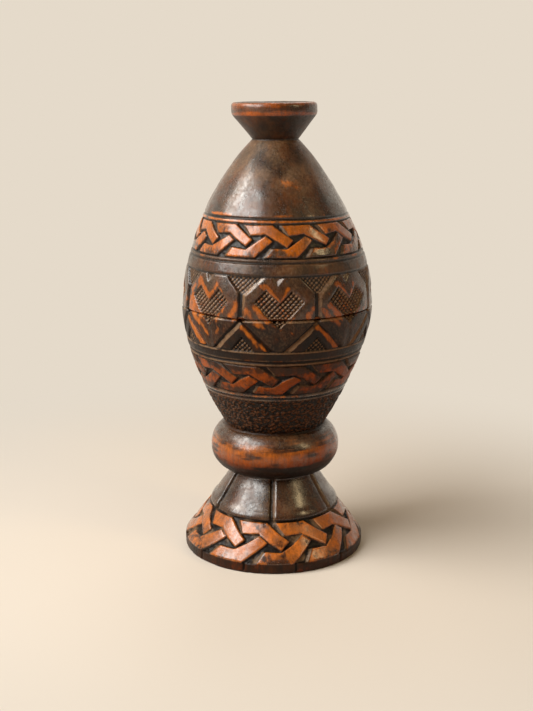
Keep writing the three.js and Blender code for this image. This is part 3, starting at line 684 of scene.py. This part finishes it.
def dress_knob(wood):
    """The knob: two rubbed rims, a dark cone below and a dull, dark top."""
    at = wood.where("knob")
    points, height, r = wood.points[at], wood.z[at], wood.r[at]
    low_rim = smooth(281.4, 282.4, height) * smooth(284.6, 283.0, height)
    top_rim = smooth(287.4, 288.8, height) * (r > 23.2)
    face = smooth(282.5, 283.5, height) * (r > 24) * (1 - low_rim) * (1 - top_rim)
    cone = smooth(282.6, 281.0, height)
    uneven = 0.3 * clouds(points, (14, 14, 3), 13)
    rub = 0.12 * smooth(0.0, 0.6, clouds(points, (8, 8, 3.5), 9))
    wood.worn[at] = np.clip(
        (0.72 + uneven) * low_rim + (0.7 + uneven) * top_rim + (0.44 + uneven) * face + rub, 0, 1)
    wood.turned[at], wood.red[at] = 0.85, 0.7
    streaked = 0.3 + 0.3 * clouds(points, (4, 4, 14), 12)
    # The last of these darkens the foot of the knob: painted shade
    wood.dark[at] = np.maximum.reduce([
        0.75 * smooth(24.4, 22.6, r) * (height > 288), cone * streaked, 0.8 * smooth(268.4, 267.2, height)])
    wood.polish[at] = np.where((height > 288) & (r < 24.5), 0.0, 0.75 - 0.7 * cone)
    hand_marks(wood, at, 0.14, (8, 8, 6), 10)


def dress_lid(wood):
    """All carving and wear of the lid."""
    frieze(wood, wood.where("body", *FRIEZE))
    band = wood.where("body", FRIEZE[1], UPPER_BELT[0])
    hand_marks(wood, band, 0.2, (9, 9, 5), 3)
    wood.polish[band] = 0.55
    wood.dust[band] = 0.2 + 0.25 * clouds(wood.points[band], (12, 12, 4), 4)
    wood.worn[band] = 0.4 * smooth(0.1, 0.6, clouds(wood.points[band], (9, 9, 5), 5))
    body_plait(wood, UPPER_BELT, 18.8, UPPER_PLAIT)
    body_rings(wood, 187, 224, LID_RINGS)
    dress_shoulder(wood)
    dress_knob(wood)
    body = wood.where("body")
    # Painted shade where the shoulder meets the knob
    wood.at_least("dark", body, 0.8 * smooth(266.2, 266.8, wood.z[body]))


def dress_foot(wood):
    """The plait on the foot's slope, and the rim below it with the upright cuts that end its strands."""
    at = wood.where("foot")
    arc = wood.arc()[wood.row[at]]
    start, tall = arc.min(), arc.max() - arc.min()
    plait(wood, at, (arc - start) / (tall - PLAIT_EDGE_GAP), tall, FOOT_PLAIT)
    rim = wood.where("foot_rim")
    hand_marks(wood, rim, 0.2, (10, 10, 4), 34)
    pitch = 2 * np.pi / FOOT_PLAIT["repeats"]
    away = (wrapped(wood.angle[rim] - math.radians(FOOT_PLAIT["turn"])) / pitch - 0.61) % 1
    away = np.minimum(away, 1 - away) * pitch * FOOT_RADIUS
    cut = smooth(1.0, 0.3, away) * smooth(0.3, 2.0, wood.z[rim])
    wood.rise[rim] -= FOOT_SLIT_DEPTH * cut
    # The rim is darker all over, and fully dark in the slits, where it is painted shade
    wood.dark[rim] = np.maximum(cut, 0.4)
    wood.worn[rim] = 0.15 + 0.35 * smooth(-0.3, 0.6, clouds(wood.points[rim], (9, 9, 5), 40))
    wood.red[rim], wood.polish[rim] = 1, 0.1


def dress_neck(wood):
    """The fluted neck, with painted shade where it meets the foot."""
    at = wood.where("neck")
    hand_marks(wood, at, 0.2, (11, 11, 9), 35)
    wood.dust[at] = 0.24 + 0.2 * clouds(wood.points[at], (8, 8, 12), 42)
    flutes(wood, at)
    wood.at_least("dark", at, 0.9 * smooth(30.2, 29.5, wood.z[at]))


def dress_collar(wood):
    """The collar: polished above with a pale haze that is a painted sheen, rubbed red-brown below and dark
    underneath.
    """
    at = wood.where("collar")
    points, height = wood.points[at], wood.z[at]
    hand_marks(wood, at, 0.22, (15, 15, 10), 36)
    rub, streak = clouds(points, (13, 13, 4.2), 37), cloud(points, (9, 9, 1.8), 38)
    level = height + 1.6 * cloud(points * (1, 1, 0), 30, 39)
    rubbed = np.interp(level, *COLLAR_WEAR)
    shadowed = np.interp(level, *COLLAR_SHADOW)
    blotch = smooth(0.05, 0.6, -rub - 0.4 * streak) * smooth(72, 68, level)
    wood.worn[at] = np.clip(1.15 * rubbed * (1 + 0.6 * rub + 0.35 * streak), 0, 1)
    wood.dark[at] = np.clip(shadowed * (1 + 0.3 * rub) + 0.5 * blotch, 0, 1)
    # The pale haze at the top is a painted sheen
    wood.dust[at] = 0.3 * smooth(72, 79, height) * (1 + 0.5 * rub)
    wood.red[at], wood.turned[at] = smooth(80, 60, height), 0.8
    wood.polish[at] = 0.9 - 0.86 * smooth(70, 62, height)


def dress_base(wood):
    """All carving and wear of the base."""
    frieze(wood, wood.where("body", *FRIEZE))
    band = wood.where("body", LOWER_BELT[1], FRIEZE[0])
    hand_marks(wood, band, 0.18, (9, 9, 4), 33)
    # The band under the belly is darkened as painted shade
    wood.polish[band], wood.dark[band] = 0.1, 0.72
    body_plait(wood, LOWER_BELT, 18.9, LOWER_PLAIT)
    body_rings(wood, 109, 144, BASE_RINGS)
    stipple(wood, wood.where("body", BOWL_BOTTOM, STIPPLE_TOP - 0.5))
    # A painted highlight along the top edge of the bowl, just under the seam
    top_edge = wood.where("body", 161.8, SEAM)
    rub = clouds(wood.points[top_edge], (9, 9, 9), 55)
    wood.at_least("dust", top_edge, 0.7 * smooth(-0.3, 0.3, rub))
    dress_foot(wood)
    dress_neck(wood)
    dress_collar(wood)


def lean_over(points):
    """The lean that the maker left: foot and knob stand a little to the left, and the knob tilts."""
    z = points[:, 2]
    tilt = smooth(268, 284, z)
    points[:, 2] += tilt * (KNOB_SLOPE * np.clip(points[:, 0] + points[:, 1], -38, 38) - KNOB_DROP)
    points[:, 0] += np.interp(z, *LEAN)
    return points


# Free edge of the unrolled map, as a share of it
MAP_MARGIN = 0.002


def stitched(wood):
    """Faces between each row and the next, each corner's place on the unrolled map, and each face's row.
    Rows of unlike counts are joined by two bands of triangles, and single points by one fan."""
    first, columns = wood.first, wood.columns
    v = wood.arc() / wood.arc()[-1]
    quads, triangles = [], []

    # A step is a column, and half a step stands for the middle of a side
    def corner(row, step):
        return first[row] + np.floor(step).astype(int) % columns[row]

    def spot(row, step):
        across = MAP_MARGIN + (1 - 2 * MAP_MARGIN) * step / columns[row]
        return np.stack([across, np.full(len(step), MAP_MARGIN + (1 - 2 * MAP_MARGIN) * v[row])], axis=-1)

    def add(kept, low, corners):
        kept.append((
            np.stack([corner(*c) for c in corners], axis=1),
            np.stack([spot(*c) for c in corners], axis=1),
            np.full(len(corners[0][1]), low),
        ))

    for low in range(len(columns) - 1):
        high = low + 1
        a, b = columns[low], columns[high]
        if a == b:
            i = np.arange(a)
            add(quads, low, [(low, i), (low, i + 1), (high, i + 1), (high, i)])
            continue
        for count, other, near, far in ((a, b, low, high), (b, a, high, low)):
            if count == 1:
                continue
            i = np.arange(count)
            tip = (i + 0.5) / count * other
            side = [(near, i), (near, i + 1)]
            if other > 1:
                tip = np.ceil(tip - 0.5) if near == low else np.floor(tip - 0.5) + 1
            add(triangles, low, (side if near == low else side[::-1]) + [(far, tip)])
    quads, triangles = ([np.concatenate(part) for part in zip(*kept)] for kept in (quads, triangles))
    places = np.concatenate([quads[1].reshape(-1, 2), triangles[1].reshape(-1, 2)])
    return (quads[0], triangles[0]), places, np.concatenate([quads[2], triangles[2]])


def smooth_mesh(name, points, faces):
    """A mesh in metres with soft shading."""
    mesh = bpy.data.meshes.new(name)
    mesh.from_pydata(points, [], faces)
    mesh.shade_smooth()
    return mesh


def in_scene(name, data):
    """An object made from its data and put into the scene."""
    thing = bpy.data.objects.new(name, data)
    bpy.context.scene.collection.objects.link(thing)
    return thing


def wooden_piece(name, profile, dress, materials, body):
    """Makes one carved piece: turned rows, carving, then the mesh with its wear stored on it."""
    wood = Surface(profile)
    dress(wood)
    wood.rise = np.minimum(wood.rise, 0)
    points = lean_over(wood.turned_points(wood.r + wood.lean_r * wood.rise, wood.z + wood.lean_z * wood.rise))
    (quads, triangles), places, rows = stitched(wood)
    mesh = smooth_mesh(name, (points * MILLIMETRE).tolist(), quads.tolist() + triangles.tolist())
    unrolled = mesh.uv_layers.new(name="OFBake")
    unrolled.uv.foreach_set("vector", places.astype(np.float32).ravel())
    for layer, channels in (
        ("carving", (wood.worn, wood.dark, wood.dust, wood.polish)),
        ("tone", (wood.red, wood.turned, wood.pecked, np.ones(len(wood.z)))),
    ):
        values = np.clip(np.stack(channels, axis=1), 0, 1).astype(np.float32)
        mesh.color_attributes.new(layer, "FLOAT_COLOR", "POINT").data.foreach_set("color", values.ravel())
    for material in materials:
        mesh.materials.append(material)
    inside = np.isin(wood.zone[wood.first[rows]], ("hollow", "seat", "underside"))
    mesh.polygons.foreach_set("material_index", inside.astype(np.int32))
    mesh.update()
    piece = in_scene(name, mesh)
    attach(piece, body)
    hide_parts(body)


# Colours as read on a screen, from 0 to 255
PORE_BROWN = (60, 28, 12)
HOLLOW_PORE_BROWN = (34, 19, 10)
# The darkest colour: stain, and painted shade in cuts, pits and creases and on slopes turned from the light
GRIME_AND_SHADE = (16, 9, 5)
PECK_CROWN = (134, 88, 54)
# The pale film: dust, and painted highlights on bevels, ridges and edges
PALE_DUST_AND_SHEEN = (164, 131, 98)
PAPER, PAPER_LIGHT = (216, 206, 193), (222, 212, 200)
PAPER_GLOW = (229, 218, 202)
TABLE_BROWN = (140, 92, 58)

BUMP_DISTANCE = 0.0005


def paint(colour, factor=1.0):
    """A screen colour, made lighter or darker by the factor, as the shader takes it."""
    parts = [min(255, part * factor) / 255 for part in colour]
    return (*[p / 12.92 if p <= 0.04045 else ((p + 0.055) / 1.055) ** 2.4 for p in parts], 1.0)


class Value:
    """An output of a node. Plus, minus, times and power join it to others through Math nodes."""

    def __init__(self, nodes, socket):
        self.nodes, self.socket = nodes, socket

    def __add__(self, other):
        return self.nodes.math("ADD", self, other)

    def __sub__(self, other):
        return self.nodes.math("SUBTRACT", self, other)

    def __rsub__(self, other):
        return self.nodes.math("SUBTRACT", other, self)

    def __mul__(self, other):
        return self.nodes.math("MULTIPLY", self, other)

    def __pow__(self, other):
        return self.nodes.math("POWER", self, other)

    def larger(self, other):
        """The larger of the two."""
        return self.nodes.math("MAXIMUM", self, other)

    def clamped(self):
        """The same, kept from 0 to 1."""
        self.socket.node.use_clamp = True
        return self

    def between(self, low, high, start=0.0, end=1.0):
        """Start up to low, end from high on, and a soft step from one to the other."""
        node = self.nodes.add("ShaderNodeMapRange", interpolation_type="SMOOTHSTEP")
        for socket, value in zip(node.inputs, (self, low, high, start, end)):
            self.nodes.feed(socket, value)
        return Value(self.nodes, node.outputs[0])


class Nodes:
    """Short calls for adding and joining nodes in one tree."""

    def __init__(self, tree):
        self.tree = tree
        self.place = None

    def add(self, kind, **values):
        """A new node with these settings."""
        node = self.tree.nodes.new(kind)
        for key, value in values.items():
            setattr(node, key, value)
        return node

    def feed(self, socket, value):
        """Joins a value to an input, or sets the input to a plain number or colour."""
        if isinstance(value, Value):
            self.tree.links.new(value.socket, socket)
        else:
            socket.default_value = value

    def fill(self, node, **inputs):
        """Feeds the inputs of a node by name, with _ for a space, and returns it."""
        for label, value in inputs.items():
            self.feed(node.inputs[label.replace("_", " ")], value)
        return node

    def outputs(self, node):
        """The outputs of a node by name."""
        return {socket.name: Value(self, socket) for socket in node.outputs}

    def math(self, operation, a, b):
        """One operation on two values or numbers."""
        node = self.add("ShaderNodeMath", operation=operation)
        self.feed(node.inputs[0], a)
        self.feed(node.inputs[1], b)
        return Value(self, node.outputs[0])

    def mix(self, share, a, b, kind="RGBA"):
        """From a to b by the share: colours, or plain values where the kind is FLOAT."""
        node = self.add("ShaderNodeMix", data_type=kind)
        start, made = (6, 2) if kind == "RGBA" else (2, 0)
        for number, value in ((0, share), (start, a), (start + 1, b)):
            self.feed(node.inputs[number], value)
        return Value(self, node.outputs[made])

    def object_place(self):
        """The point on the object, from one node for the whole tree."""
        if self.place is None:
            self.place = self.outputs(self.add("ShaderNodeTexCoord"))["Object"]
        return self.place

    def texture(self, kind, stretch, **settings):
        """The outputs of a texture with this many cells per metre along x, y and z."""
        place = self.fill(self.add("ShaderNodeMapping"), Vector=self.object_place(), Scale=stretch)
        place = self.outputs(place)["Vector"]
        return self.outputs(self.fill(self.add(kind), Vector=place, Scale=1.0, **settings))

    def noise(self, stretch, detail=3.0, roughness=0.55):
        """Noise from 0 to 1, stretched along x, y and z."""
        return self.texture("ShaderNodeTexNoise", stretch, Detail=detail, Roughness=roughness)["Fac"]

    def bump(self, shader, height, strength):
        """Gives a shader small bumps of this height."""
        node = self.add("ShaderNodeBump")
        self.fill(node, Strength=strength, Distance=BUMP_DISTANCE, Height=height)
        self.fill(shader, Normal=self.outputs(node)["Normal"])

    def finished(self, **outputs):
        """Ends a group: makes its named outputs, feeds them and returns the tree."""
        for label in outputs:
            self.tree.interface.new_socket(label, in_out="OUTPUT", socket_type="NodeSocketFloat")
        self.fill(self.add("NodeGroupOutput"), **outputs)
        return self.tree


def group(name, **inputs):
    """A node group with named inputs, as its nodes and the inputs' values by name."""
    nodes = Nodes(bpy.data.node_groups.new(name, "ShaderNodeTree"))
    for label, default in inputs.items():
        socket = nodes.tree.interface.new_socket(
            label.replace("_", " "), in_out="INPUT", socket_type="NodeSocketFloat")
        socket.default_value = default
    return nodes, nodes.outputs(nodes.add("NodeGroupInput"))


def wood_grain_group():
    """Straight upright grain: soft streaks, short dark pores and a fine height for both."""
    nodes, given = group("wood grain", Streak_Contrast=1.0, Pore_Contrast=1.0)
    streaks = nodes.noise((420, 420, 26), 4.0, 0.6)
    broad = nodes.noise((95, 95, 12), 2.0)
    pore = nodes.noise((1500, 1500, 170), 2.0, 0.5).between(0.56, 0.7)
    centred = (streaks * 0.6 + broad * 0.4 - 0.5) * given["Streak Contrast"]
    return nodes.finished(
        Streaks=(centred * 3.0 + 0.5).clamped(),
        Pores=(pore * given["Pore Contrast"]).clamped(),
        Height=streaks * 0.5 - pore * 0.5)


def rubbed_wear_group():
    """Where handling has rubbed the stain away: the stored wear, broken up by grain and blotches.
    On turned parts the rubbing ran round the piece, so the breakup lies in level streaks there."""
    nodes, given = group("rubbed wear", Wear=0.0, Streaks=0.5, Breakup=0.5, Turned=0.0)
    blotches = nodes.noise((380, 380, 260), 5.0, 0.65)
    level = nodes.noise((60, 60, 620), 5.0, 0.66)
    upright = (blotches - 0.5) * 2.2 + (given["Streaks"] - 0.5) * 0.7
    breakup = nodes.mix(given["Turned"], upright, (level - 0.5) * 2.4, "FLOAT")
    ragged = given["Wear"] + breakup * given["Breakup"]
    gate = given["Wear"].between(0.0, 0.2)
    return nodes.finished(Bare=(ragged.between(0.08, 0.95) * gate) ** 1.7)


def rubbed_polish_group():
    """Hand polish: uneven roughness, the small dents and scratches that mottle a highlight, and
    masks of where old wax has bloomed, where the stain is warmer and where the wood is mottled."""
    nodes, given = group("rubbed polish", Smoothest=0.3, Roughest=0.6, Polish=1.0)
    mottle = nodes.noise((620, 620, 460), 5.0, 0.7)
    broad = nodes.noise((85, 85, 65), 4.0, 0.6)
    warm = nodes.noise((60, 60, 48), 4.0, 0.6)
    blotch = nodes.noise((170, 170, 120), 3.0, 0.6)
    scratch = nodes.noise((2400, 2400, 240), 2.0)
    dull = (1.0 - given["Polish"]).clamped()
    level = (dull * 0.6 + mottle.between(0.34, 0.7, 0.0, 0.55) + (broad - 0.45)).clamped()
    return nodes.finished(
        Roughness=given["Smoothest"] + level * (given["Roughest"] - given["Smoothest"]),
        Height=mottle * 0.6 + scratch * 0.2,
        Bloom=broad.between(0.4, 0.68),
        Warmth=warm.between(0.36, 0.64),
        Mottle=(mottle * 0.3 + blotch * 0.7).between(0.36, 0.62))


def settled_dust_group():
    """Pale dust and old wax on bevels and along edges, and the painted highlights there."""
    nodes, given = group("settled dust", Dust=0.0, Amount=1.0)
    speckle = nodes.noise((800, 800, 600), 4.0, 0.65)
    film = (given["Dust"] + (speckle - 0.5)).between(0.1, 0.95) * given["Amount"]
    return nodes.finished(Film=film * given["Dust"].between(0.0, 0.15))


def knife_pecks_group():
    """Small pits between brown crowns, as left by the point of a knife, with painted shade in the pits."""
    nodes, given = group("knife pecks", Pecked=0.0)
    cells = nodes.texture("ShaderNodeTexVoronoi", (460, 460, 560), Randomness=0.9)
    crown = cells["Distance"].between(0.62, 0.3)
    return nodes.finished(Pit=(1.0 - crown) * given["Pecked"], Height=crown * given["Pecked"])


WOOD_GRAIN = wood_grain_group()
KNIFE_PECKS = knife_pecks_group()
RUBBED_WEAR = rubbed_wear_group()
RUBBED_POLISH = rubbed_polish_group()
DUST_AND_SHEEN_FILM = settled_dust_group()


def placed(nodes, tree, **inputs):
    """A group put into a material with its own values, as its outputs by name."""
    return nodes.outputs(nodes.fill(nodes.add("ShaderNodeGroup", node_tree=tree), **inputs))


def stored(nodes, layer):
    """The four values of a layer stored on the mesh."""
    whole = nodes.outputs(nodes.add("ShaderNodeVertexColor", layer_name=layer))
    parts = nodes.fill(nodes.add("ShaderNodeSeparateColor"), Color=whole["Color"])
    return [*nodes.outputs(parts).values(), whole["Alpha"]]


def new_material(name):
    """A new material, its nodes and its shader."""
    material = bpy.data.materials.new(name)
    material.use_nodes = True
    return material, Nodes(material.node_tree), material.node_tree.nodes["Principled BSDF"]


def carved_wood(name, sheen, wax_blur, wax_index, stain, warm_stain, bloom, amber, red_amber):
    """Dark stained hardwood, rubbed to a satin polish and worn to bare wood on what stands out.
    The sheen is that of the wood, and the wax over it has its own blur and refractive index."""
    material, nodes, shader = new_material(name)
    worn, dark, dust, polished = stored(nodes, "carving")
    redness, turned, pecked, _ = stored(nodes, "tone")
    grain = placed(nodes, WOOD_GRAIN, Streak_Contrast=1.0, Pore_Contrast=0.8)
    streaks = grain["Streaks"]
    pecks = placed(nodes, KNIFE_PECKS, Pecked=pecked)
    polish = placed(nodes, RUBBED_POLISH, Smoothest=0.17, Roughest=0.46, Polish=polished)
    bare = placed(nodes, RUBBED_WEAR, Wear=worn, Streaks=streaks, Breakup=0.5, Turned=turned)["Bare"]
    film = placed(nodes, DUST_AND_SHEEN_FILM, Dust=dust, Amount=0.55)["Film"]
    dim = (1.0 - polish["Mottle"]) * 0.6
    cool = nodes.mix(streaks, paint(stain, 0.7), paint(stain, 1.2))
    warm = nodes.mix(streaks, paint(warm_stain, 0.75), paint(warm_stain, 1.25))
    shade = nodes.mix(polish["Warmth"], cool, warm)
    shade = nodes.mix(polish["Bloom"] * 0.42, shade, paint(bloom))
    shade = nodes.mix(dim, shade, paint(stain, 0.5))
    pale_wood = nodes.mix(redness, paint(amber), paint(red_amber))
    deep_wood = nodes.mix(redness, paint(amber, 0.74), paint(red_amber, 0.7))
    fresh = nodes.mix(streaks, deep_wood, pale_wood)
    fresh = nodes.mix(grain["Pores"] * 0.6, fresh, paint(PORE_BROWN))
    fresh = nodes.mix(dim * 0.75, fresh, paint(amber, 0.45))
    fresh = nodes.mix(bare.between(0.0, 0.7), paint(red_amber, 0.5), fresh)
    # Stain and painted shade, from the stored darkness and the pits, darken the colour here
    shade_and_grime = (dark * 0.94).larger(pecks["Pit"] * 0.92)
    colour = nodes.mix(bare, shade, fresh)
    colour = nodes.mix(shade_and_grime, colour, paint(GRIME_AND_SHADE))
    colour = nodes.mix(pecks["Height"] * 0.42, colour, paint(PECK_CROWN))
    colour = nodes.mix(film, colour, paint(PALE_DUST_AND_SHEEN))
    wax = polished * (1.0 - shade_and_grime) * polish["Mottle"].between(0.0, 1.0, 1.0, 0.5)
    wax = wax * polish["Roughness"].between(0.2, 0.42, 1.25, 0.45)
    nodes.fill(shader, Base_Color=colour, Roughness=polish["Roughness"], Specular_IOR_Level=sheen,
               Coat_Weight=wax, Coat_Roughness=wax_blur, Coat_IOR=wax_index)
    nodes.bump(shader, grain["Height"] * 0.4 + polish["Height"] + pecks["Height"] * 1.6, 0.7)
    return material


def hollowed_wood(name, pale, deep):
    """Bare wood inside and underneath: matt, streaked, with darker handled patches."""
    material, nodes, shader = new_material(name)
    grain = placed(nodes, WOOD_GRAIN, Streak_Contrast=1.3, Pore_Contrast=1.0)
    polish = placed(nodes, RUBBED_POLISH, Smoothest=0.55, Roughest=0.85, Polish=0.4)
    colour = nodes.mix(grain["Streaks"], paint(deep), paint(pale))
    colour = nodes.mix(polish["Bloom"] * 0.5, colour, paint(deep, 0.6))
    colour = nodes.mix(grain["Pores"] * 0.6, colour, paint(HOLLOW_PORE_BROWN))
    nodes.fill(shader, Base_Color=colour, Roughness=polish["Roughness"])
    nodes.bump(shader, grain["Height"] + polish["Height"], 0.5)
    return material


LID_WOOD = carved_wood(
    "lid_stained_wood", sheen=0.36, wax_blur=0.18, wax_index=1.5, stain=(48, 33, 21),
    warm_stain=(86, 47, 18), bloom=(116, 84, 52), amber=(208, 110, 12), red_amber=(178, 84, 20))
BASE_WOOD = carved_wood(
    "base_stained_wood", sheen=0.2, wax_blur=0.25, wax_index=1.62, stain=(36, 21, 10),
    warm_stain=(70, 36, 11), bloom=(84, 50, 26), amber=(220, 124, 38), red_amber=(158, 64, 3))
HOLLOW_WOOD = hollowed_wood("hollowed_wood", pale=(150, 92, 54), deep=(104, 58, 32))

wooden_piece("carved_base", base_profile(), dress_base, (BASE_WOOD, HOLLOW_WOOD), "base")
wooden_piece("carved_lid", lid_profile(), dress_lid, (LID_WOOD, HOLLOW_WOOD), "lid")

# The stage, in metres
SWEEP_REACH = 9.0
BEND_START = 1.8
BEND_RADIUS = 0.8
WALL_HEIGHTS = (1.6, 2.6, 3.6)
GLOW_START, GLOW_FULL = 0.09, 0.42
AIM_HEIGHT = 0.15
CAMERA_PLACE = (-0.0069, -0.7066, 0.29726)
CAMERA_DIP = 13.5
CAMERA_LENS, CAMERA_SENSOR = 56.2, 36

# Name, turn from the camera's side and height in degrees, distance, width, height, watts, colour
LAMPS = [
    ("window_left", -60, 35, 1.25, 0.9, 0.95, 20.5, (1.0, 0.98, 0.94)),
    ("warm_right", 60, 30, 1.3, 0.22, 0.5, 3.0, (1.0, 0.74, 0.4)),
    ("side_window", -90, 42, 1.25, 0.42, 0.55, 6, (1.0, 0.93, 0.84)),
    ("back_fill", 168, 50, 1.5, 0.8, 0.8, 4, (1.0, 0.95, 0.88)),
]
ROOM_LIGHT, ROOM_COLOUR = 0.15, (1.0, 0.82, 0.6, 1.0)


def paper_material():
    """Pale paper to the camera and in reflections, and a brown table to the light that it throws back."""
    material, nodes, shader = new_material("pale_paper")
    path = nodes.outputs(nodes.add("ShaderNodeLightPath"))
    seen = path["Is Camera Ray"].larger(path["Is Glossy Ray"]).larger(path["Is Transmission Ray"])
    paper = nodes.mix(nodes.noise((3, 3, 3), 2.0), paint(PAPER), paint(PAPER_LIGHT))
    nodes.fill(shader, Base_Color=nodes.mix(seen, paint(TABLE_BROWN), paper), Roughness=0.9)
    # Far from the object the paper shows its own colour, and near it the light and the shadow
    far = nodes.add("ShaderNodeVectorMath", operation="LENGTH")
    nodes.feed(far.inputs[0], nodes.object_place())
    share = nodes.outputs(far)["Value"].between(GLOW_START, GLOW_FULL) * seen
    glow = nodes.fill(nodes.add("ShaderNodeEmission"), Color=paint(PAPER_GLOW))
    both = nodes.add("ShaderNodeMixShader")
    nodes.feed(both.inputs[0], share)
    for socket, source in zip(both.inputs[1:], (shader, glow)):
        nodes.tree.links.new(source.outputs[0], socket)
    nodes.tree.links.new(both.outputs[0], nodes.tree.nodes["Material Output"].inputs["Surface"])
    return material


def pale_sweep():
    """A pale floor that curves up into a backdrop."""
    across = np.linspace(-SWEEP_REACH, SWEEP_REACH, 19)
    run = [(y, 0.0) for y in (-SWEEP_REACH, -4.0, -2.0, -1.0, 0.0, 1.0, BEND_START)]
    run += [(BEND_START + BEND_RADIUS * math.sin(t), BEND_RADIUS - BEND_RADIUS * math.cos(t))
            for t in np.linspace(0, math.pi / 2, 12)[1:]]
    run += [(BEND_START + BEND_RADIUS, z) for z in WALL_HEIGHTS]
    wide = len(across)
    faces = [
        (i * wide + j, i * wide + j + 1, (i + 1) * wide + j + 1, (i + 1) * wide + j)
        for i in range(len(run) - 1) for j in range(wide - 1)
    ]
    mesh = smooth_mesh("pale_sweep", [(x, y, z) for y, z in run for x in across], faces)
    mesh.materials.append(paper_material())
    in_scene("pale_sweep", mesh)


def soft_lamp(name, turn, height, distance, width, tall, watts, colour):
    """A rectangular soft lamp aimed at the middle of the object."""
    light = bpy.data.lights.new(name, "AREA")
    light.shape = "RECTANGLE"
    light.size, light.size_y = width, tall
    light.energy, light.color = watts, colour
    lamp = in_scene(name, light)
    side, up = math.radians(turn), math.radians(height)
    lamp.location = (
        distance * math.cos(up) * math.sin(side), -distance * math.cos(up) * math.cos(side),
        AIM_HEIGHT + distance * math.sin(up),
    )
    lamp.rotation_euler = (math.pi / 2 - up, 0, side)


def room_light():
    """Even light from all sides."""
    world = bpy.data.worlds.new("room_light")
    world.use_nodes = True
    nodes = Nodes(world.node_tree)
    nodes.fill(nodes.tree.nodes["Background"], Color=ROOM_COLOUR, Strength=ROOM_LIGHT)
    bpy.context.scene.world = world


def camera():
    """The photograph's angle: from a little above, close in, slightly to the left of the object."""
    lens = bpy.data.cameras.new("photo_view")
    lens.lens, lens.sensor_width = CAMERA_LENS, CAMERA_SENSOR
    view = in_scene("photo_view", lens)
    view.location = CAMERA_PLACE
    view.rotation_euler = (math.radians(90 - CAMERA_DIP), 0, 0)
    bpy.context.scene.camera = view


pale_sweep()
for lamp in LAMPS:
    soft_lamp(*lamp)
room_light()
camera()
bpy.context.scene.view_settings.view_transform = "Standard"
